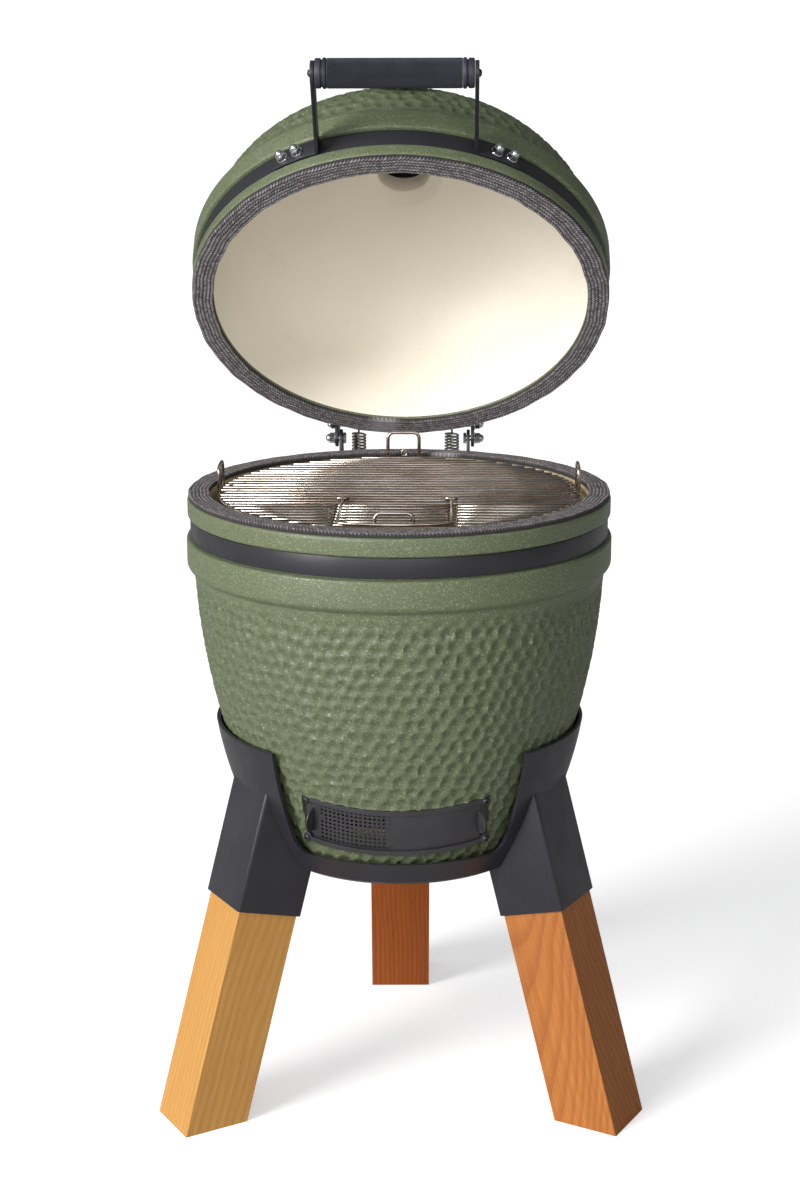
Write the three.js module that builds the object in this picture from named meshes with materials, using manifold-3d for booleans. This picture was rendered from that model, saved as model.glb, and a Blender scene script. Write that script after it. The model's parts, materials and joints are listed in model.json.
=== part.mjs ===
// A compact ceramic kamado grill on a three-legged wooden stand, in millimetres, +Z up, front at -Y.
// Heights are measured inside `grill` from the plane where the base's gasket meets the closed lid's,
// which stands RIM_HEIGHT above the floor.
import * as THREE from "three";
import { mergeVertices } from "three/addons/utils/BufferGeometryUtils.js";
import Module from "manifold-3d";

const wasm = await Module();
wasm.setup();

const DEG = Math.PI / 180;
const GAP = 0.3; // clearance between touching pieces

// Whole object
const RIM_HEIGHT = 597;
const ROUND_SIDES = 32;

// Ceramic
const RIM_Z = -4.5; // top of the base's ceramic rim, below the plane that heights are measured from
const RIM_RADIUS = 199;
const RIM_INNER = 179;
const FLANGE_RADIUS = 200;
const BAND_SEAT = 196;
const COLLAR_RADIUS = 201.4;
const WALL = 20;
const FLANGE_BASE = -21.8; // underside of the base's flange
const BODY_TOP = -78.6; // where the dimpled body starts under the collar
const BODY_FLOOR = -346;
const GASKET = 4.1;

// Lid
const LID_RISE = 4.5; // height of the closed lid's rim
const LID_OPENING = 47.7 * DEG;
const PIVOT_Y = 216.1;
const PIVOT_Z = 7.75;
const DOME_RADIUS = 191;
const DOME_RISE = 125.5;
const DOME_CENTRE = 57;
const CHIMNEY_RADIUS = 26;

// Bands
const BAND_THICK = 1.4;
const BAND_HEIGHT = 18.6;
const BASE_BAND_Z = -32;
const LID_BAND_Z = 22;

// Stand
const STAND_TURN = 1.6 * DEG; // the body sits slightly turned in its stand
const SPLAY = 15.8 * DEG;
const LEG_SIDE = 62;
const FOOT_RADIUS = 220.9;
const SOCKET_SIDE = 69;
const SOCKET_BOTTOM = -388.3; // height of the socket mouth's centre
const CRADLE_TOP = -222;
const CRADLE_FLOOR = -353;
const CRADLE_SHEET = 4;
const NOTCH_FLOOR = -326; // the cradle is cut away in front of the vent, from here up
const NOTCH_HALF_ANGLE = 41.3 * DEG;

// Vent
const VENT_RADIUS = 148;
const VENT_Z = -292;
const VENT_LEAN = 15 * DEG;
const VENT_HALF_HEIGHT = 24.5;
const VENT_HALF_ANGLE = 34.5 * DEG;
const DRAFT_SPAN = [-28.5 * DEG, -1.5 * DEG];

// Hinge and handle
const PLATE_THICK = 3.4;
const BASE_PLATE_X = 64.4;
const LID_PLATE_X = 68.9;
const SPRING_X = 49;
const ANCHOR_OPEN = [245, 17.4]; // upper spring rod with the lid open, [y, z]
const LOWER_ROD = [243, -56];
const GRIP_Y = -269;
const GRIP_Z = 27;
const BRACKET_X = 69.5;
const BRACKET_THICK = 3.5;

// ---------------------------------------------------------------- geometry helpers

// A closed BufferGeometry as a manifold solid with its faces turned out.
function solid(geometry) {
  const bare = geometry.clone();
  bare.deleteAttribute("normal");
  bare.deleteAttribute("uv");
  const merged = mergeVertices(bare, 1e-4);
  const build = (flip) => {
    const corners = [];
    const index = merged.index.array;
    for (let i = 0; i < index.length; i += 3) {
      const [a, b, c] = [index[i], index[i + 1], index[i + 2]];
      if (a !== b && b !== c && c !== a) corners.push(a, flip ? c : b, flip ? b : c);
    }
    return new wasm.Manifold(new wasm.Mesh({
      numProp: 3,
      vertProperties: merged.attributes.position.array,
      triVerts: new Uint32Array(corners),
    }));
  };
  const made = build(false);
  return made.volume() < 0 ? build(true) : made;
}

function geometryOf(made) {
  const mesh = made.getMesh();
  const geometry = new THREE.BufferGeometry();
  geometry.setAttribute("position", new THREE.BufferAttribute(mesh.vertProperties, 3));
  geometry.setIndex(new THREE.BufferAttribute(mesh.triVerts, 1));
  geometry.computeVertexNormals();
  return geometry;
}

const join = (...parts) => geometryOf(parts.slice(1).reduce((sum, g) => sum.add(solid(g)), solid(parts[0])));
const cut = (body, ...tools) => geometryOf(tools.reduce((left, g) => left.subtract(solid(g)), solid(body)));
const keep = (body, region) => geometryOf(solid(body).intersect(solid(region)));

// A solid of revolution about Z from [radius, height] points.
function turned(profile, sides = ROUND_SIDES) {
  const points = profile.map(([r, z]) => new THREE.Vector2(r, z));
  return new THREE.LatheGeometry(points, sides).rotateX(Math.PI / 2);
}

// A ring of rectangular section about Z.
function ring(inner, outer, low, high, sides = ROUND_SIDES) {
  return turned([[inner, low], [outer, low], [outer, high], [inner, high], [inner, low]], sides);
}

function block(width, depth, height, x = 0, y = 0, z = 0) {
  return new THREE.BoxGeometry(width, depth, height).translate(x, y, z);
}

// A rod about Z, centred on its middle.
function rod(radius, length, sides = 12) {
  return new THREE.CylinderGeometry(radius, radius, length, sides).rotateX(Math.PI / 2);
}

const rodAlongX = (radius, length, sides = 12) => rod(radius, length, sides).rotateY(Math.PI / 2);
const rodAlongY = (radius, length, sides = 12) => rod(radius, length, sides).rotateX(Math.PI / 2);

// A plate cut from an outline, standing on z = 0.
function plate(outline, thickness, holes = []) {
  const shape = new THREE.Shape(outline.map(([x, y]) => new THREE.Vector2(x, y)));
  holes.forEach((hole) => shape.holes.push(new THREE.Path(hole.map(([x, y]) => new THREE.Vector2(x, y)))));
  return new THREE.ExtrudeGeometry(shape, { depth: thickness, bevelEnabled: false });
}

// A plate in the YZ plane: its outline is in [y, z] and its thickness runs along +X from x.
function uprightPlate(outline, x, thickness) {
  return plate(outline, thickness).rotateX(Math.PI / 2).rotateZ(Math.PI / 2).translate(x, 0, 0);
}

// Points on an arc about the origin, angles measured from -Y towards +X.
function arc(radius, from, to, steps) {
  return Array.from({ length: steps + 1 }, (_, i) => {
    const a = from + ((to - from) * i) / steps;
    return [radius * Math.sin(a), -radius * Math.cos(a)];
  });
}

// Part of a ring about Z between two angles from -Y.
function sector(inner, outer, from, to, low, high, steps = 10) {
  const outline = [...arc(outer, from, to, steps), ...arc(inner, to, from, steps)];
  return plate(outline, high - low).translate(0, 0, low);
}

// Rounded end of a plate: an arc of points about [cx, cy].
function roundEnd(cx, cy, radius, from, to, steps = 6) {
  return Array.from({ length: steps + 1 }, (_, i) => {
    const a = (from + ((to - from) * i) / steps) * DEG;
    return [cx + radius * Math.cos(a), cy + radius * Math.sin(a)];
  });
}

// ---------------------------------------------------------------- materials

const finish = (color, roughness, metalness) => () => new THREE.MeshStandardMaterial({ color, roughness, metalness });
const glaze = finish(0x6f7b58, 0.45, 0);
const fireclay = finish(0xcdbb9b, 0.9, 0);
const blackSteel = finish(0x3a393d, 0.5, 0.3);
const castIron = finish(0x2b2b2c, 0.65, 0.6);
const stainless = finish(0xb9b2a8, 0.3, 1);
const chrome = finish(0xd0d0d2, 0.12, 1);
const felt = finish(0x5a5453, 0.95, 0);
const wood = finish(0xb87a3c, 0.6, 0);
const gripPlastic = finish(0x23232b, 0.6, 0);
const rubber = finish(0x202020, 0.85, 0);
const dialWhite = finish(0xe8e6e0, 0.6, 0);
const redPaint = finish(0xa32018, 0.5, 0);
const clearGlass = finish(0xdfe6e8, 0.05, 0);

function piece(group, name, geometry, material, place) {
  const mesh = new THREE.Mesh(geometryOf(solid(geometry)), material());
  mesh.name = name;
  if (place) place(mesh);
  group.add(mesh);
  return mesh;
}

// ---------------------------------------------------------------- ceramic body

// Outer radius of the dimpled body at a height below the collar.
function bodyRadius(z) {
  const depth = BODY_TOP - z;
  return 194.7 - 0.045 * depth - 0.00082 * depth * depth;
}

function bodyHeights(from, to, steps) {
  return Array.from({ length: steps + 1 }, (_, i) => from + ((to - from) * i) / steps);
}

const innerRadius = (z) => Math.min(RIM_INNER, bodyRadius(z) - WALL);

function baseShellProfile() {
  const outside = bodyHeights(BODY_FLOOR, BODY_TOP, 7).map((z) => [bodyRadius(z), z]);
  const inside = bodyHeights(BODY_TOP, BODY_FLOOR + WALL, 4).map((z) => [innerRadius(z), z]);
  return [
    [0, BODY_FLOOR], ...outside,
    [COLLAR_RADIUS - 1.5, BODY_TOP + 7], [COLLAR_RADIUS, -68], [COLLAR_RADIUS, -45],
    [COLLAR_RADIUS - 1.5, -42.8], [BAND_SEAT, -42.4],
    [BAND_SEAT, FLANGE_BASE], [FLANGE_RADIUS, FLANGE_BASE], [FLANGE_RADIUS, RIM_Z - 2], [RIM_RADIUS, RIM_Z],
    [RIM_INNER, RIM_Z], ...inside, [0, BODY_FLOOR + WALL],
  ];
}

// The vent's pieces are made about an upright axis. It leans, so that their front middle lies on the
// body's front at VENT_Z.
const ventAxis = {
  y: VENT_RADIUS * Math.cos(VENT_LEAN) - bodyRadius(VENT_Z),
  z: VENT_Z + VENT_RADIUS * Math.sin(VENT_LEAN),
};
function onVent(object) {
  object.rotation.x = VENT_LEAN;
  object.position.set(0, ventAxis.y, ventAxis.z);
}
const ventPlaced = (geometry) => geometry.rotateX(VENT_LEAN).translate(0, ventAxis.y, ventAxis.z);

function baseShell() {
  const recess = sector(VENT_RADIUS - 3, VENT_RADIUS + 40, -VENT_HALF_ANGLE - 0.01, VENT_HALF_ANGLE + 0.01,
    -VENT_HALF_HEIGHT - GAP, VENT_HALF_HEIGHT + GAP, 12);
  const draft = sector(VENT_RADIUS - 50, VENT_RADIUS, ...DRAFT_SPAN, -20, 20, 4);
  return cut(turned(baseShellProfile()), ventPlaced(recess), ventPlaced(draft));
}

// Fire bowl: stands on the floor of the base, with a mouth towards the draft vent and a ledge for the
// charcoal grate.
const FIRE_TOP = -100;
const FIRE_FLOOR = BODY_FLOOR + WALL + GAP;
const CHARCOAL_Z = -250;
const fireRadius = (z) => innerRadius(z) - 5;

function fireBowl() {
  const outside = bodyHeights(FIRE_FLOOR, FIRE_TOP, 3).map((z) => [fireRadius(z), z]);
  const profile = [
    [40, FIRE_FLOOR], ...outside, [fireRadius(FIRE_TOP) - 15, FIRE_TOP],
    [fireRadius(-180) - 15, -180], [fireRadius(CHARCOAL_Z) - 15, CHARCOAL_Z],
    [fireRadius(CHARCOAL_Z) - 26, CHARCOAL_Z], [fireRadius(-308) - 20, -308], [40, -308], [40, FIRE_FLOOR],
  ];
  const mouth = block(110, 120, 46, -20, -120, -284);
  return cut(turned(profile, 24), mouth);
}

function charcoalGrate() {
  const radius = fireRadius(CHARCOAL_Z) - 17;
  const slots = [-66, -44, -22, 0, 22, 44, 66].map((x) => {
    const half = Math.sqrt((radius - 14) ** 2 - x * x);
    return block(9, 2 * half, 20, x, 0, CHARCOAL_Z + 4);
  });
  const spine = block(2 * radius - 12, 9, 6, 0, 0, CHARCOAL_Z + GAP + 3);
  const disc = turned([[0, CHARCOAL_Z + GAP], [radius, CHARCOAL_Z + GAP], [radius, CHARCOAL_Z + 8],
    [0, CHARCOAL_Z + 8]], 24);
  return join(cut(disc, ...slots), spine);
}

const GRATE_Z = -3.5; // middle of the cooking wires
const FLAP_LOOP_HEIGHT = 14;
const RING_TOP = GRATE_Z - 7.4;
const fireRing = () => ring(150, fireRadius(FIRE_TOP), FIRE_TOP + GAP, RING_TOP, 24);

// A clamp band with the two ears that its bolt draws together; the bolt's holes are clear of it.
const EAR_ANGLE = { base: 145 * DEG, lid: 33 * DEG };
function band(z, earAngle) {
  const outer = BAND_SEAT + GAP + BAND_THICK;
  const hoop = ring(BAND_SEAT + GAP, outer, z - BAND_HEIGHT / 2, z + BAND_HEIGHT / 2);
  const ears = [-4.5, 4.5].map((y) => block(14, 2.4, BAND_HEIGHT, outer + 6.2, y, z));
  const hole = rodAlongY(2.8, 30, 8).translate(outer + 7, 0, z);
  return cut(join(hoop, ...ears.map((ear) => ear.rotateZ(earAngle))), hole.rotateZ(earAngle));
}

// The bolt between a band's ears: head, shank and nut, clear of the ears' outer faces.
function bandBolt(z, earAngle) {
  const x = BAND_SEAT + GAP + BAND_THICK + 7;
  const shank = rodAlongY(2.5, 16, 8);
  const ends = [-1, 1].map((side) => rodAlongY(4.6, 4, 6).translate(0, side * 8, 0));
  return join(shank, ...ends).translate(x, 0, z).rotateZ(earAngle);
}

// ---------------------------------------------------------------- lid

const domeRadius = (z) => DOME_RADIUS * Math.sqrt(Math.max(0, 1 - ((z - DOME_CENTRE) / DOME_RISE) ** 2));
const domeInner = (z) =>
  (DOME_RADIUS - WALL) * Math.sqrt(Math.max(0, 1 - ((z - DOME_CENTRE) / (DOME_RISE - WALL + 2)) ** 2));
const DOME_TOP = DOME_CENTRE + DOME_RISE;
const NECK_TOP = DOME_TOP + 8;

function lidShell() {
  const outer = [62, 88, 112, 134, 152, 166, 175].map((z) => [domeRadius(z), z]);
  const inner = [153, 140, 120, 94, 60].map((z) => [domeInner(z), z]);
  const profile = [
    [RIM_INNER, 0], [RIM_RADIUS, 0], [RIM_RADIUS + 0.6, 2], [RIM_RADIUS + 0.6, 12], [BAND_SEAT, 12.4],
    [BAND_SEAT, 31.6], [COLLAR_RADIUS - 1.4, 32], [COLLAR_RADIUS, 34], [COLLAR_RADIUS, 53],
    [COLLAR_RADIUS - 2, 57], ...outer,
    [44, DOME_TOP - 2], [40, NECK_TOP], [CHIMNEY_RADIUS, NECK_TOP], [CHIMNEY_RADIUS, 170],
    [38, 163], ...inner, [RIM_INNER - 4, 30], [RIM_INNER, 0],
  ];
  const dial = onDomeFront(rod(5, 80, 12));
  return cut(turned(profile), dial);
}

// The dome's front point where the thermometer sits, and the way that its face looks there.
const DIAL_Z = 116;
const NEEDLE_COLD = 130 * DEG; // the cold needle's turn from the top of the dial
const dialTilt = Math.atan2((DIAL_Z - DOME_CENTRE) / DOME_RISE ** 2, domeRadius(DIAL_Z) / DOME_RADIUS ** 2);
function onDomeFront(geometry) {
  return geometry.rotateX(Math.PI / 2 - dialTilt).translate(0, -domeRadius(DIAL_Z), DIAL_Z);
}

// The thermometer's pieces stand about Z with the dial facing +Z, z = 0 on the glaze.
function thermometerCase() {
  const cup = turned([[0, 3], [20, 3], [27, 4], [27, 15], [24.5, 15], [24.5, 8], [0, 8]], 24);
  const stem = rod(3, 46, 8).translate(0, 0, -18);
  return onDomeFront(join(cup, stem));
}
const thermometerLens = () => onDomeFront(turned([[0, 12.2], [24.1, 12.2], [24.1, 14], [0, 14.6]], 24));
function thermometerNeedle() {
  const hub = rod(2.4, 2, 12);
  const arm = plate([[-1.1, -6], [1.1, -6], [0.4, 19], [-0.4, 19]], 0.8).translate(0, 0, -0.4);
  return onDomeFront(join(hub, arm.rotateZ(NEEDLE_COLD)).translate(0, 0, 10));
}

// Cast iron top vent: a collar on the chimney, a plate that swivels aside and a slotted disc on it.
const COLLAR_TOP = NECK_TOP + GAP + 9;
const PIN_X = 47;
const PETALS = 5;
const PETAL_SPAN = 31 * DEG;
const PETAL_CLOSED = 36 * DEG; // the disc's turn from open to closed
function petals(from, z) {
  return Array.from({ length: PETALS }, (_, i) => {
    const start = from + (i * 2 * Math.PI) / PETALS;
    return sector(14, 34, start, start + PETAL_SPAN, z - 20, z + 20, 2);
  });
}
function chimneyCollar() {
  const low = NECK_TOP + GAP;
  const lug = rod(8, 9, 12).translate(PIN_X, 0, low + 4.5);
  return join(turned([[27, low], [44, low], [42, COLLAR_TOP], [27, COLLAR_TOP], [27, low]], 24), lug);
}
function damperPlate() {
  const low = COLLAR_TOP + GAP;
  const disc = turned([[0, low], [43, low], [43, low + 3], [40, low + 5], [0, low + 5]], 24);
  const lug = rod(8, 5, 12).translate(PIN_X, 0, low + 2.5);
  const bore = rod(3.3, 30, 12).translate(PIN_X, 0, low);
  return cut(join(disc, lug), ...petals(0, low), bore);
}
function damperDisc() {
  const low = COLLAR_TOP + GAP + 5 + GAP;
  const disc = turned([[0, low], [38, low], [38, low + 3], [10, low + 6], [8, low + 15], [0, low + 16]], 24);
  const tab = block(6, 10, 9, 0, -36, low + 5);
  return join(cut(disc, ...petals(PETAL_CLOSED, low)), tab);
}
function damperPin() {
  const low = COLLAR_TOP + GAP;
  const shank = rod(3, 5.6, 12).translate(PIN_X, 0, low + 2.7);
  const head = rod(6, 4, 12).translate(PIN_X, 0, low + 5 + GAP + 2);
  return join(shank, head);
}

// Handle: strip brackets from the lid band, a knurled grip between two collars.
const FOOT_Y = -BAND_SEAT - GAP - BAND_THICK - GAP;
const bandFaceY = (x) => -Math.sqrt(FOOT_Y * FOOT_Y - x * x);
function handleBracket(side) {
  const outer = -FOOT_Y;
  const from = Math.asin(BRACKET_X / outer);
  const to = Math.asin(109 / outer);
  const foot = sector(outer, outer + 2.4, from, to, LID_BAND_Z - 9, LID_BAND_Z + 9, 6);
  const rootY = bandFaceY(BRACKET_X) - 0.2;
  const strip = uprightPlate(
    [[rootY, LID_BAND_Z - 9], [rootY, LID_BAND_Z + 9],
      ...roundEnd(GRIP_Y, GRIP_Z, 11, 80, 285, 8)],
    BRACKET_X, BRACKET_THICK);
  const made = cut(join(foot, strip), rodAlongX(3.2, 20, 12).translate(BRACKET_X, GRIP_Y, GRIP_Z));
  return side > 0 ? made : made.scale(-1, 1, 1);
}
const GRIP_RADIUS = 13;
const COLLAR_LENGTH = 9;
const GRIP_LENGTH = 2 * (BRACKET_X - GAP - COLLAR_LENGTH - GAP);
function handleCollar(side) {
  const x = side * (BRACKET_X - GAP - COLLAR_LENGTH / 2);
  return rodAlongX(GRIP_RADIUS, COLLAR_LENGTH, 16).translate(x, GRIP_Y, GRIP_Z);
}
const handleGrip = () => rodAlongX(GRIP_RADIUS, GRIP_LENGTH, 16).translate(0, GRIP_Y, GRIP_Z);

// Acorn nuts on the bracket feet, two at each side.
const NUT_X = [88.5, 101.7];
function acornNut(x) {
  const angle = Math.asin(x / -FOOT_Y);
  const nut = turned([[0, 0], [5, 0], [5, 5], [3.8, 8.5], [0, 10]], 6);
  return nut.rotateX(Math.PI / 2).translate(0, FOOT_Y - 2.4 - GAP, LID_BAND_Z).rotateZ(angle);
}

// ---------------------------------------------------------------- hinge

const lidY = (y, z) => {
  const [dy, dz] = [y - PIVOT_Y, z - PIVOT_Z];
  return [PIVOT_Y + dy * Math.cos(LID_OPENING) - dz * Math.sin(LID_OPENING),
    PIVOT_Z + dy * Math.sin(LID_OPENING) + dz * Math.cos(LID_OPENING) - LID_RISE];
};
const ANCHOR_LID = lidY(...ANCHOR_OPEN); // the same rod's place in the lid's own frame, [y, z]
const PIVOT_LID = [PIVOT_Y, PIVOT_Z - LID_RISE];

// Distance along Y to a ring of a given radius at a given x, behind the axis.
const ringY = (radius, x) => Math.sqrt(radius * radius - x * x);

function hingePlate(outline, x, side, holes) {
  const flat = uprightPlate(outline, x, PLATE_THICK);
  const made = cut(flat, ...holes.map(([r, y, z]) => rodAlongX(r, 40, 12).translate(x, y, z)));
  return side > 0 ? made : made.scale(-1, 1, 1);
}
function baseHingePlate(side) {
  const face = ringY(BAND_SEAT + BAND_THICK + 2 * GAP, BASE_PLATE_X);
  const outline = [
    [face, BASE_BAND_Z - 8], [face, BASE_BAND_Z + 8], [ringY(COLLAR_RADIUS, BASE_PLATE_X) + 5, BASE_BAND_Z + 10],
    [PIVOT_Y - 10, PIVOT_Z - 8], ...roundEnd(PIVOT_Y, PIVOT_Z, 9, 180, 10, 6),
    [LOWER_ROD[0] + 2, -30], ...roundEnd(...LOWER_ROD, 9, 20, -130, 5), [PIVOT_Y - 4, BASE_BAND_Z - 9],
  ];
  return hingePlate(outline, BASE_PLATE_X, side, [[3.3, PIVOT_Y, PIVOT_Z], [3.3, ...LOWER_ROD]]);
}
function lidHingePlate(side) {
  const face = ringY(BAND_SEAT + BAND_THICK + 2 * GAP, LID_PLATE_X);
  const outline = [
    [face, LID_BAND_Z - 8], [ringY(COLLAR_RADIUS, LID_PLATE_X) + 3, LID_BAND_Z - 12],
    ...roundEnd(...PIVOT_LID, 9, 200, 350, 6), ...roundEnd(...ANCHOR_LID, 8, -20, 110, 5),
    [face + 12, LID_BAND_Z + 8], [face, LID_BAND_Z + 8],
  ];
  return hingePlate(outline, LID_PLATE_X, side, [[3.3, ...PIVOT_LID], [3.3, ...ANCHOR_LID]]);
}
// A pivot bolt through both plates, with an acorn nut outside; it stays with the base plates.
function pivotBolt(side) {
  const head = rodAlongX(5.5, 3, 6).translate(BASE_PLATE_X - GAP - 1.5, 0, 0);
  const shankLength = LID_PLATE_X + PLATE_THICK - BASE_PLATE_X + 3;
  const shank = rodAlongX(3, shankLength, 12).translate(BASE_PLATE_X - 1 + shankLength / 2, 0, 0);
  const nut = turned([[0, 0], [5.6, 0], [5.6, 6], [4, 9.5], [0, 11]], 6).rotateY(Math.PI / 2)
    .translate(LID_PLATE_X + PLATE_THICK + GAP, 0, 0);
  const made = join(head, shank, nut);
  return side > 0 ? made : made.scale(-1, 1, 1);
}
function springRod(reach) {
  const bar = rodAlongX(3, 2 * reach, 12);
  const cap = (side) => turned([[0, 0], [5.6, 0], [5.6, 6], [4, 9.5], [0, 11]], 6)
    .rotateY(side * Math.PI / 2).translate(side * (reach - 1), 0, 0);
  return join(bar, cap(1), cap(-1));
}
// A close helix between the two rods, hung clear of both.
class Helix extends THREE.Curve {
  constructor(radius, turns, low, high) {
    super();
    Object.assign(this, { radius, turns, low, high });
  }
  getPoint(t, target = new THREE.Vector3()) {
    const a = 2 * Math.PI * this.turns * t;
    const lean = ((ANCHOR_OPEN[0] - LOWER_ROD[0]) * t);
    return target.set(this.radius * Math.cos(a), this.radius * Math.sin(a) + lean,
      this.low + (this.high - this.low) * t);
  }
}
function spring() {
  const section = new THREE.Shape(roundEnd(0, 0, 1.3, 0, 270, 3).map(([x, y]) => new THREE.Vector2(x, y)));
  const low = LOWER_ROD[1] + 3 + 1.6;
  const high = ANCHOR_OPEN[1] - 3 - 1.6;
  const path = new Helix(6.7, 8, low, high);
  return new THREE.ExtrudeGeometry(section, { steps: 48, bevelEnabled: false, extrudePath: path });
}

// ---------------------------------------------------------------- grates

const WIRE = 2.1;
const WIRE_PITCH = 11.7;
const GRATE_RADIUS = 172;
const FLAP_HALF = 50;
const FLAP_HINGE_Y = -58;
const FLAP_FRONT_Y = -163;

function wireRows(from, to) {
  const rows = [];
  for (let i = Math.ceil(from / WIRE_PITCH); i * WIRE_PITCH <= to; i += 1) rows.push(i * WIRE_PITCH);
  return rows;
}
const wireAlongX = (from, to, y, z = GRATE_Z) => block(to - from, 2 * WIRE, 2 * WIRE, (from + to) / 2, y, z);
const wireAlongY = (x, from, to, z) => block(2 * WIRE, to - from, 2 * WIRE, x, (from + to) / 2, z);

function cookingGrate() {
  const rim = ring(GRATE_RADIUS - 2 * WIRE, GRATE_RADIUS, GRATE_Z - WIRE - 0.5, GRATE_Z + WIRE, 24);
  const edgeX = FLAP_HALF + 8;
  const middle = GRATE_RADIUS - 1.3 * WIRE;
  const rows = wireRows(-158, 166).flatMap((y) => {
    const reach = Math.sqrt(middle ** 2 - y * y);
    if (y > FLAP_HINGE_Y - WIRE) return [wireAlongX(-reach, reach, y, GRATE_Z - 0.25)];
    if (reach < edgeX + 6) return [];
    return [wireAlongX(-reach, -edgeX, y, GRATE_Z - 0.25), wireAlongX(edgeX, reach, y, GRATE_Z - 0.25)];
  });
  const edges = [-edgeX, edgeX].map((x) => wireAlongY(x, -160, FLAP_HINGE_Y, GRATE_Z - 0.8));
  const crossbars = [-92, 92].map((x) => {
    const reach = Math.sqrt(middle ** 2 - x * x);
    return wireAlongY(x, -reach, reach, GRATE_Z - 2 * WIRE + 0.4);
  });
  return join(rim, ...rows, ...edges, ...crossbars);
}
// The flap's frame lies on top of the grate's rim; its own wires hang under the frame.
const FLAP_FRAME_Z = GRATE_Z + 2 * WIRE + GAP;
function grateFlap() {
  const rows = wireRows(FLAP_FRONT_Y + 4, FLAP_HINGE_Y - 8)
    .map((y) => wireAlongX(-FLAP_HALF, FLAP_HALF, y, FLAP_FRAME_Z - 2 * WIRE + 0.3));
  const sides = [-FLAP_HALF, FLAP_HALF].map((x) => wireAlongY(x, FLAP_FRONT_Y, FLAP_HINGE_Y - 5, FLAP_FRAME_Z));
  const front = wireAlongX(-FLAP_HALF - WIRE, FLAP_HALF + WIRE, FLAP_FRONT_Y, FLAP_FRAME_Z);
  const axle = wireAlongX(-FLAP_HALF - 3, FLAP_HALF + 3, FLAP_HINGE_Y - 6, FLAP_FRAME_Z);
  return join(front, ...sides, ...rows, axle);
}
// A lifting loop that stands on the grate, its bar along X.
function loop(width, height) {
  const post = (x) => block(2 * WIRE, 2 * WIRE, height, x, 0, height / 2);
  const bar = block(width, 2 * WIRE, 2 * WIRE, 0, 0, height - WIRE);
  return join(post(-width / 2 + WIRE), post(width / 2 - WIRE), bar);
}

// ---------------------------------------------------------------- draft vent, about its own axis

const RAIL = 3;
function ventFrame() {
  const edge = VENT_HALF_ANGLE;
  const back = sector(VENT_RADIUS - 2.5, VENT_RADIUS - 1, -edge, edge, -VENT_HALF_HEIGHT, VENT_HALF_HEIGHT, 14);
  const window = sector(VENT_RADIUS - 9, VENT_RADIUS + 1, ...DRAFT_SPAN, -19, 19, 4);
  const rail = (low, high) => sector(VENT_RADIUS - 2, VENT_RADIUS + 3.4, -edge, edge, low, high, 14);
  const lip = (low, high) => sector(VENT_RADIUS + 2.4, VENT_RADIUS + 3.4, -edge, edge, low, high, 14);
  const top = VENT_HALF_HEIGHT;
  return join(cut(back, window), rail(top - RAIL, top), rail(-top, RAIL - top),
    lip(top - RAIL - 2, top - RAIL + 1), lip(RAIL - top - 1, RAIL + 2 - top));
}
const SLIDE_HALF = VENT_HALF_HEIGHT - RAIL - GAP;
function pull(angle, inner) {
  const height = 15;
  return sector(inner, inner + 13, angle - 0.5 * DEG, angle + 0.5 * DEG, -height, height, 1);
}
function ventScreen() {
  const sheet = sector(VENT_RADIUS - 0.6, VENT_RADIUS + 0.4, -31.5 * DEG, 0, -SLIDE_HALF, SLIDE_HALF, 8);
  return join(sheet, pull(-31 * DEG, VENT_RADIUS));
}
function ventDoor() {
  const sheet = sector(VENT_RADIUS + 0.9, VENT_RADIUS + 2, -1.5 * DEG, 31 * DEG, -SLIDE_HALF, SLIDE_HALF, 8);
  return join(sheet, pull(30.5 * DEG, VENT_RADIUS + 1.5));
}
function ventScrew(side, top) {
  const head = turned([[0, 0], [3.4, 0], [2.8, 2], [0, 2.4]], 8).rotateX(Math.PI / 2);
  return head.translate(0, -VENT_RADIUS - 3.4 - GAP, top * (VENT_HALF_HEIGHT - 3.6)).rotateZ(side * 33 * DEG);
}

// ---------------------------------------------------------------- stand

const cradleRadius = (z) => {
  const depth = CRADLE_TOP - z;
  return 177.2 - 0.16 * depth - 0.00152 * depth * depth;
};
const legAzimuths = { rear: 90, left: 210, right: 330 };

// A square bar along a leg's axis, from the floor up, for one leg direction.
function legBar(side, azimuth, length, start) {
  return block(side, side, length).translate(0, 0, start + length / 2).rotateY(-SPLAY)
    .translate(FOOT_RADIUS, 0, -RIM_HEIGHT).rotateZ(azimuth * DEG);
}
const floorUp = block(900, 900, 900, 0, 0, 450 - RIM_HEIGHT);
const SOCKET_START = (SOCKET_BOTTOM + RIM_HEIGHT) / Math.cos(SPLAY);

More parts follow.
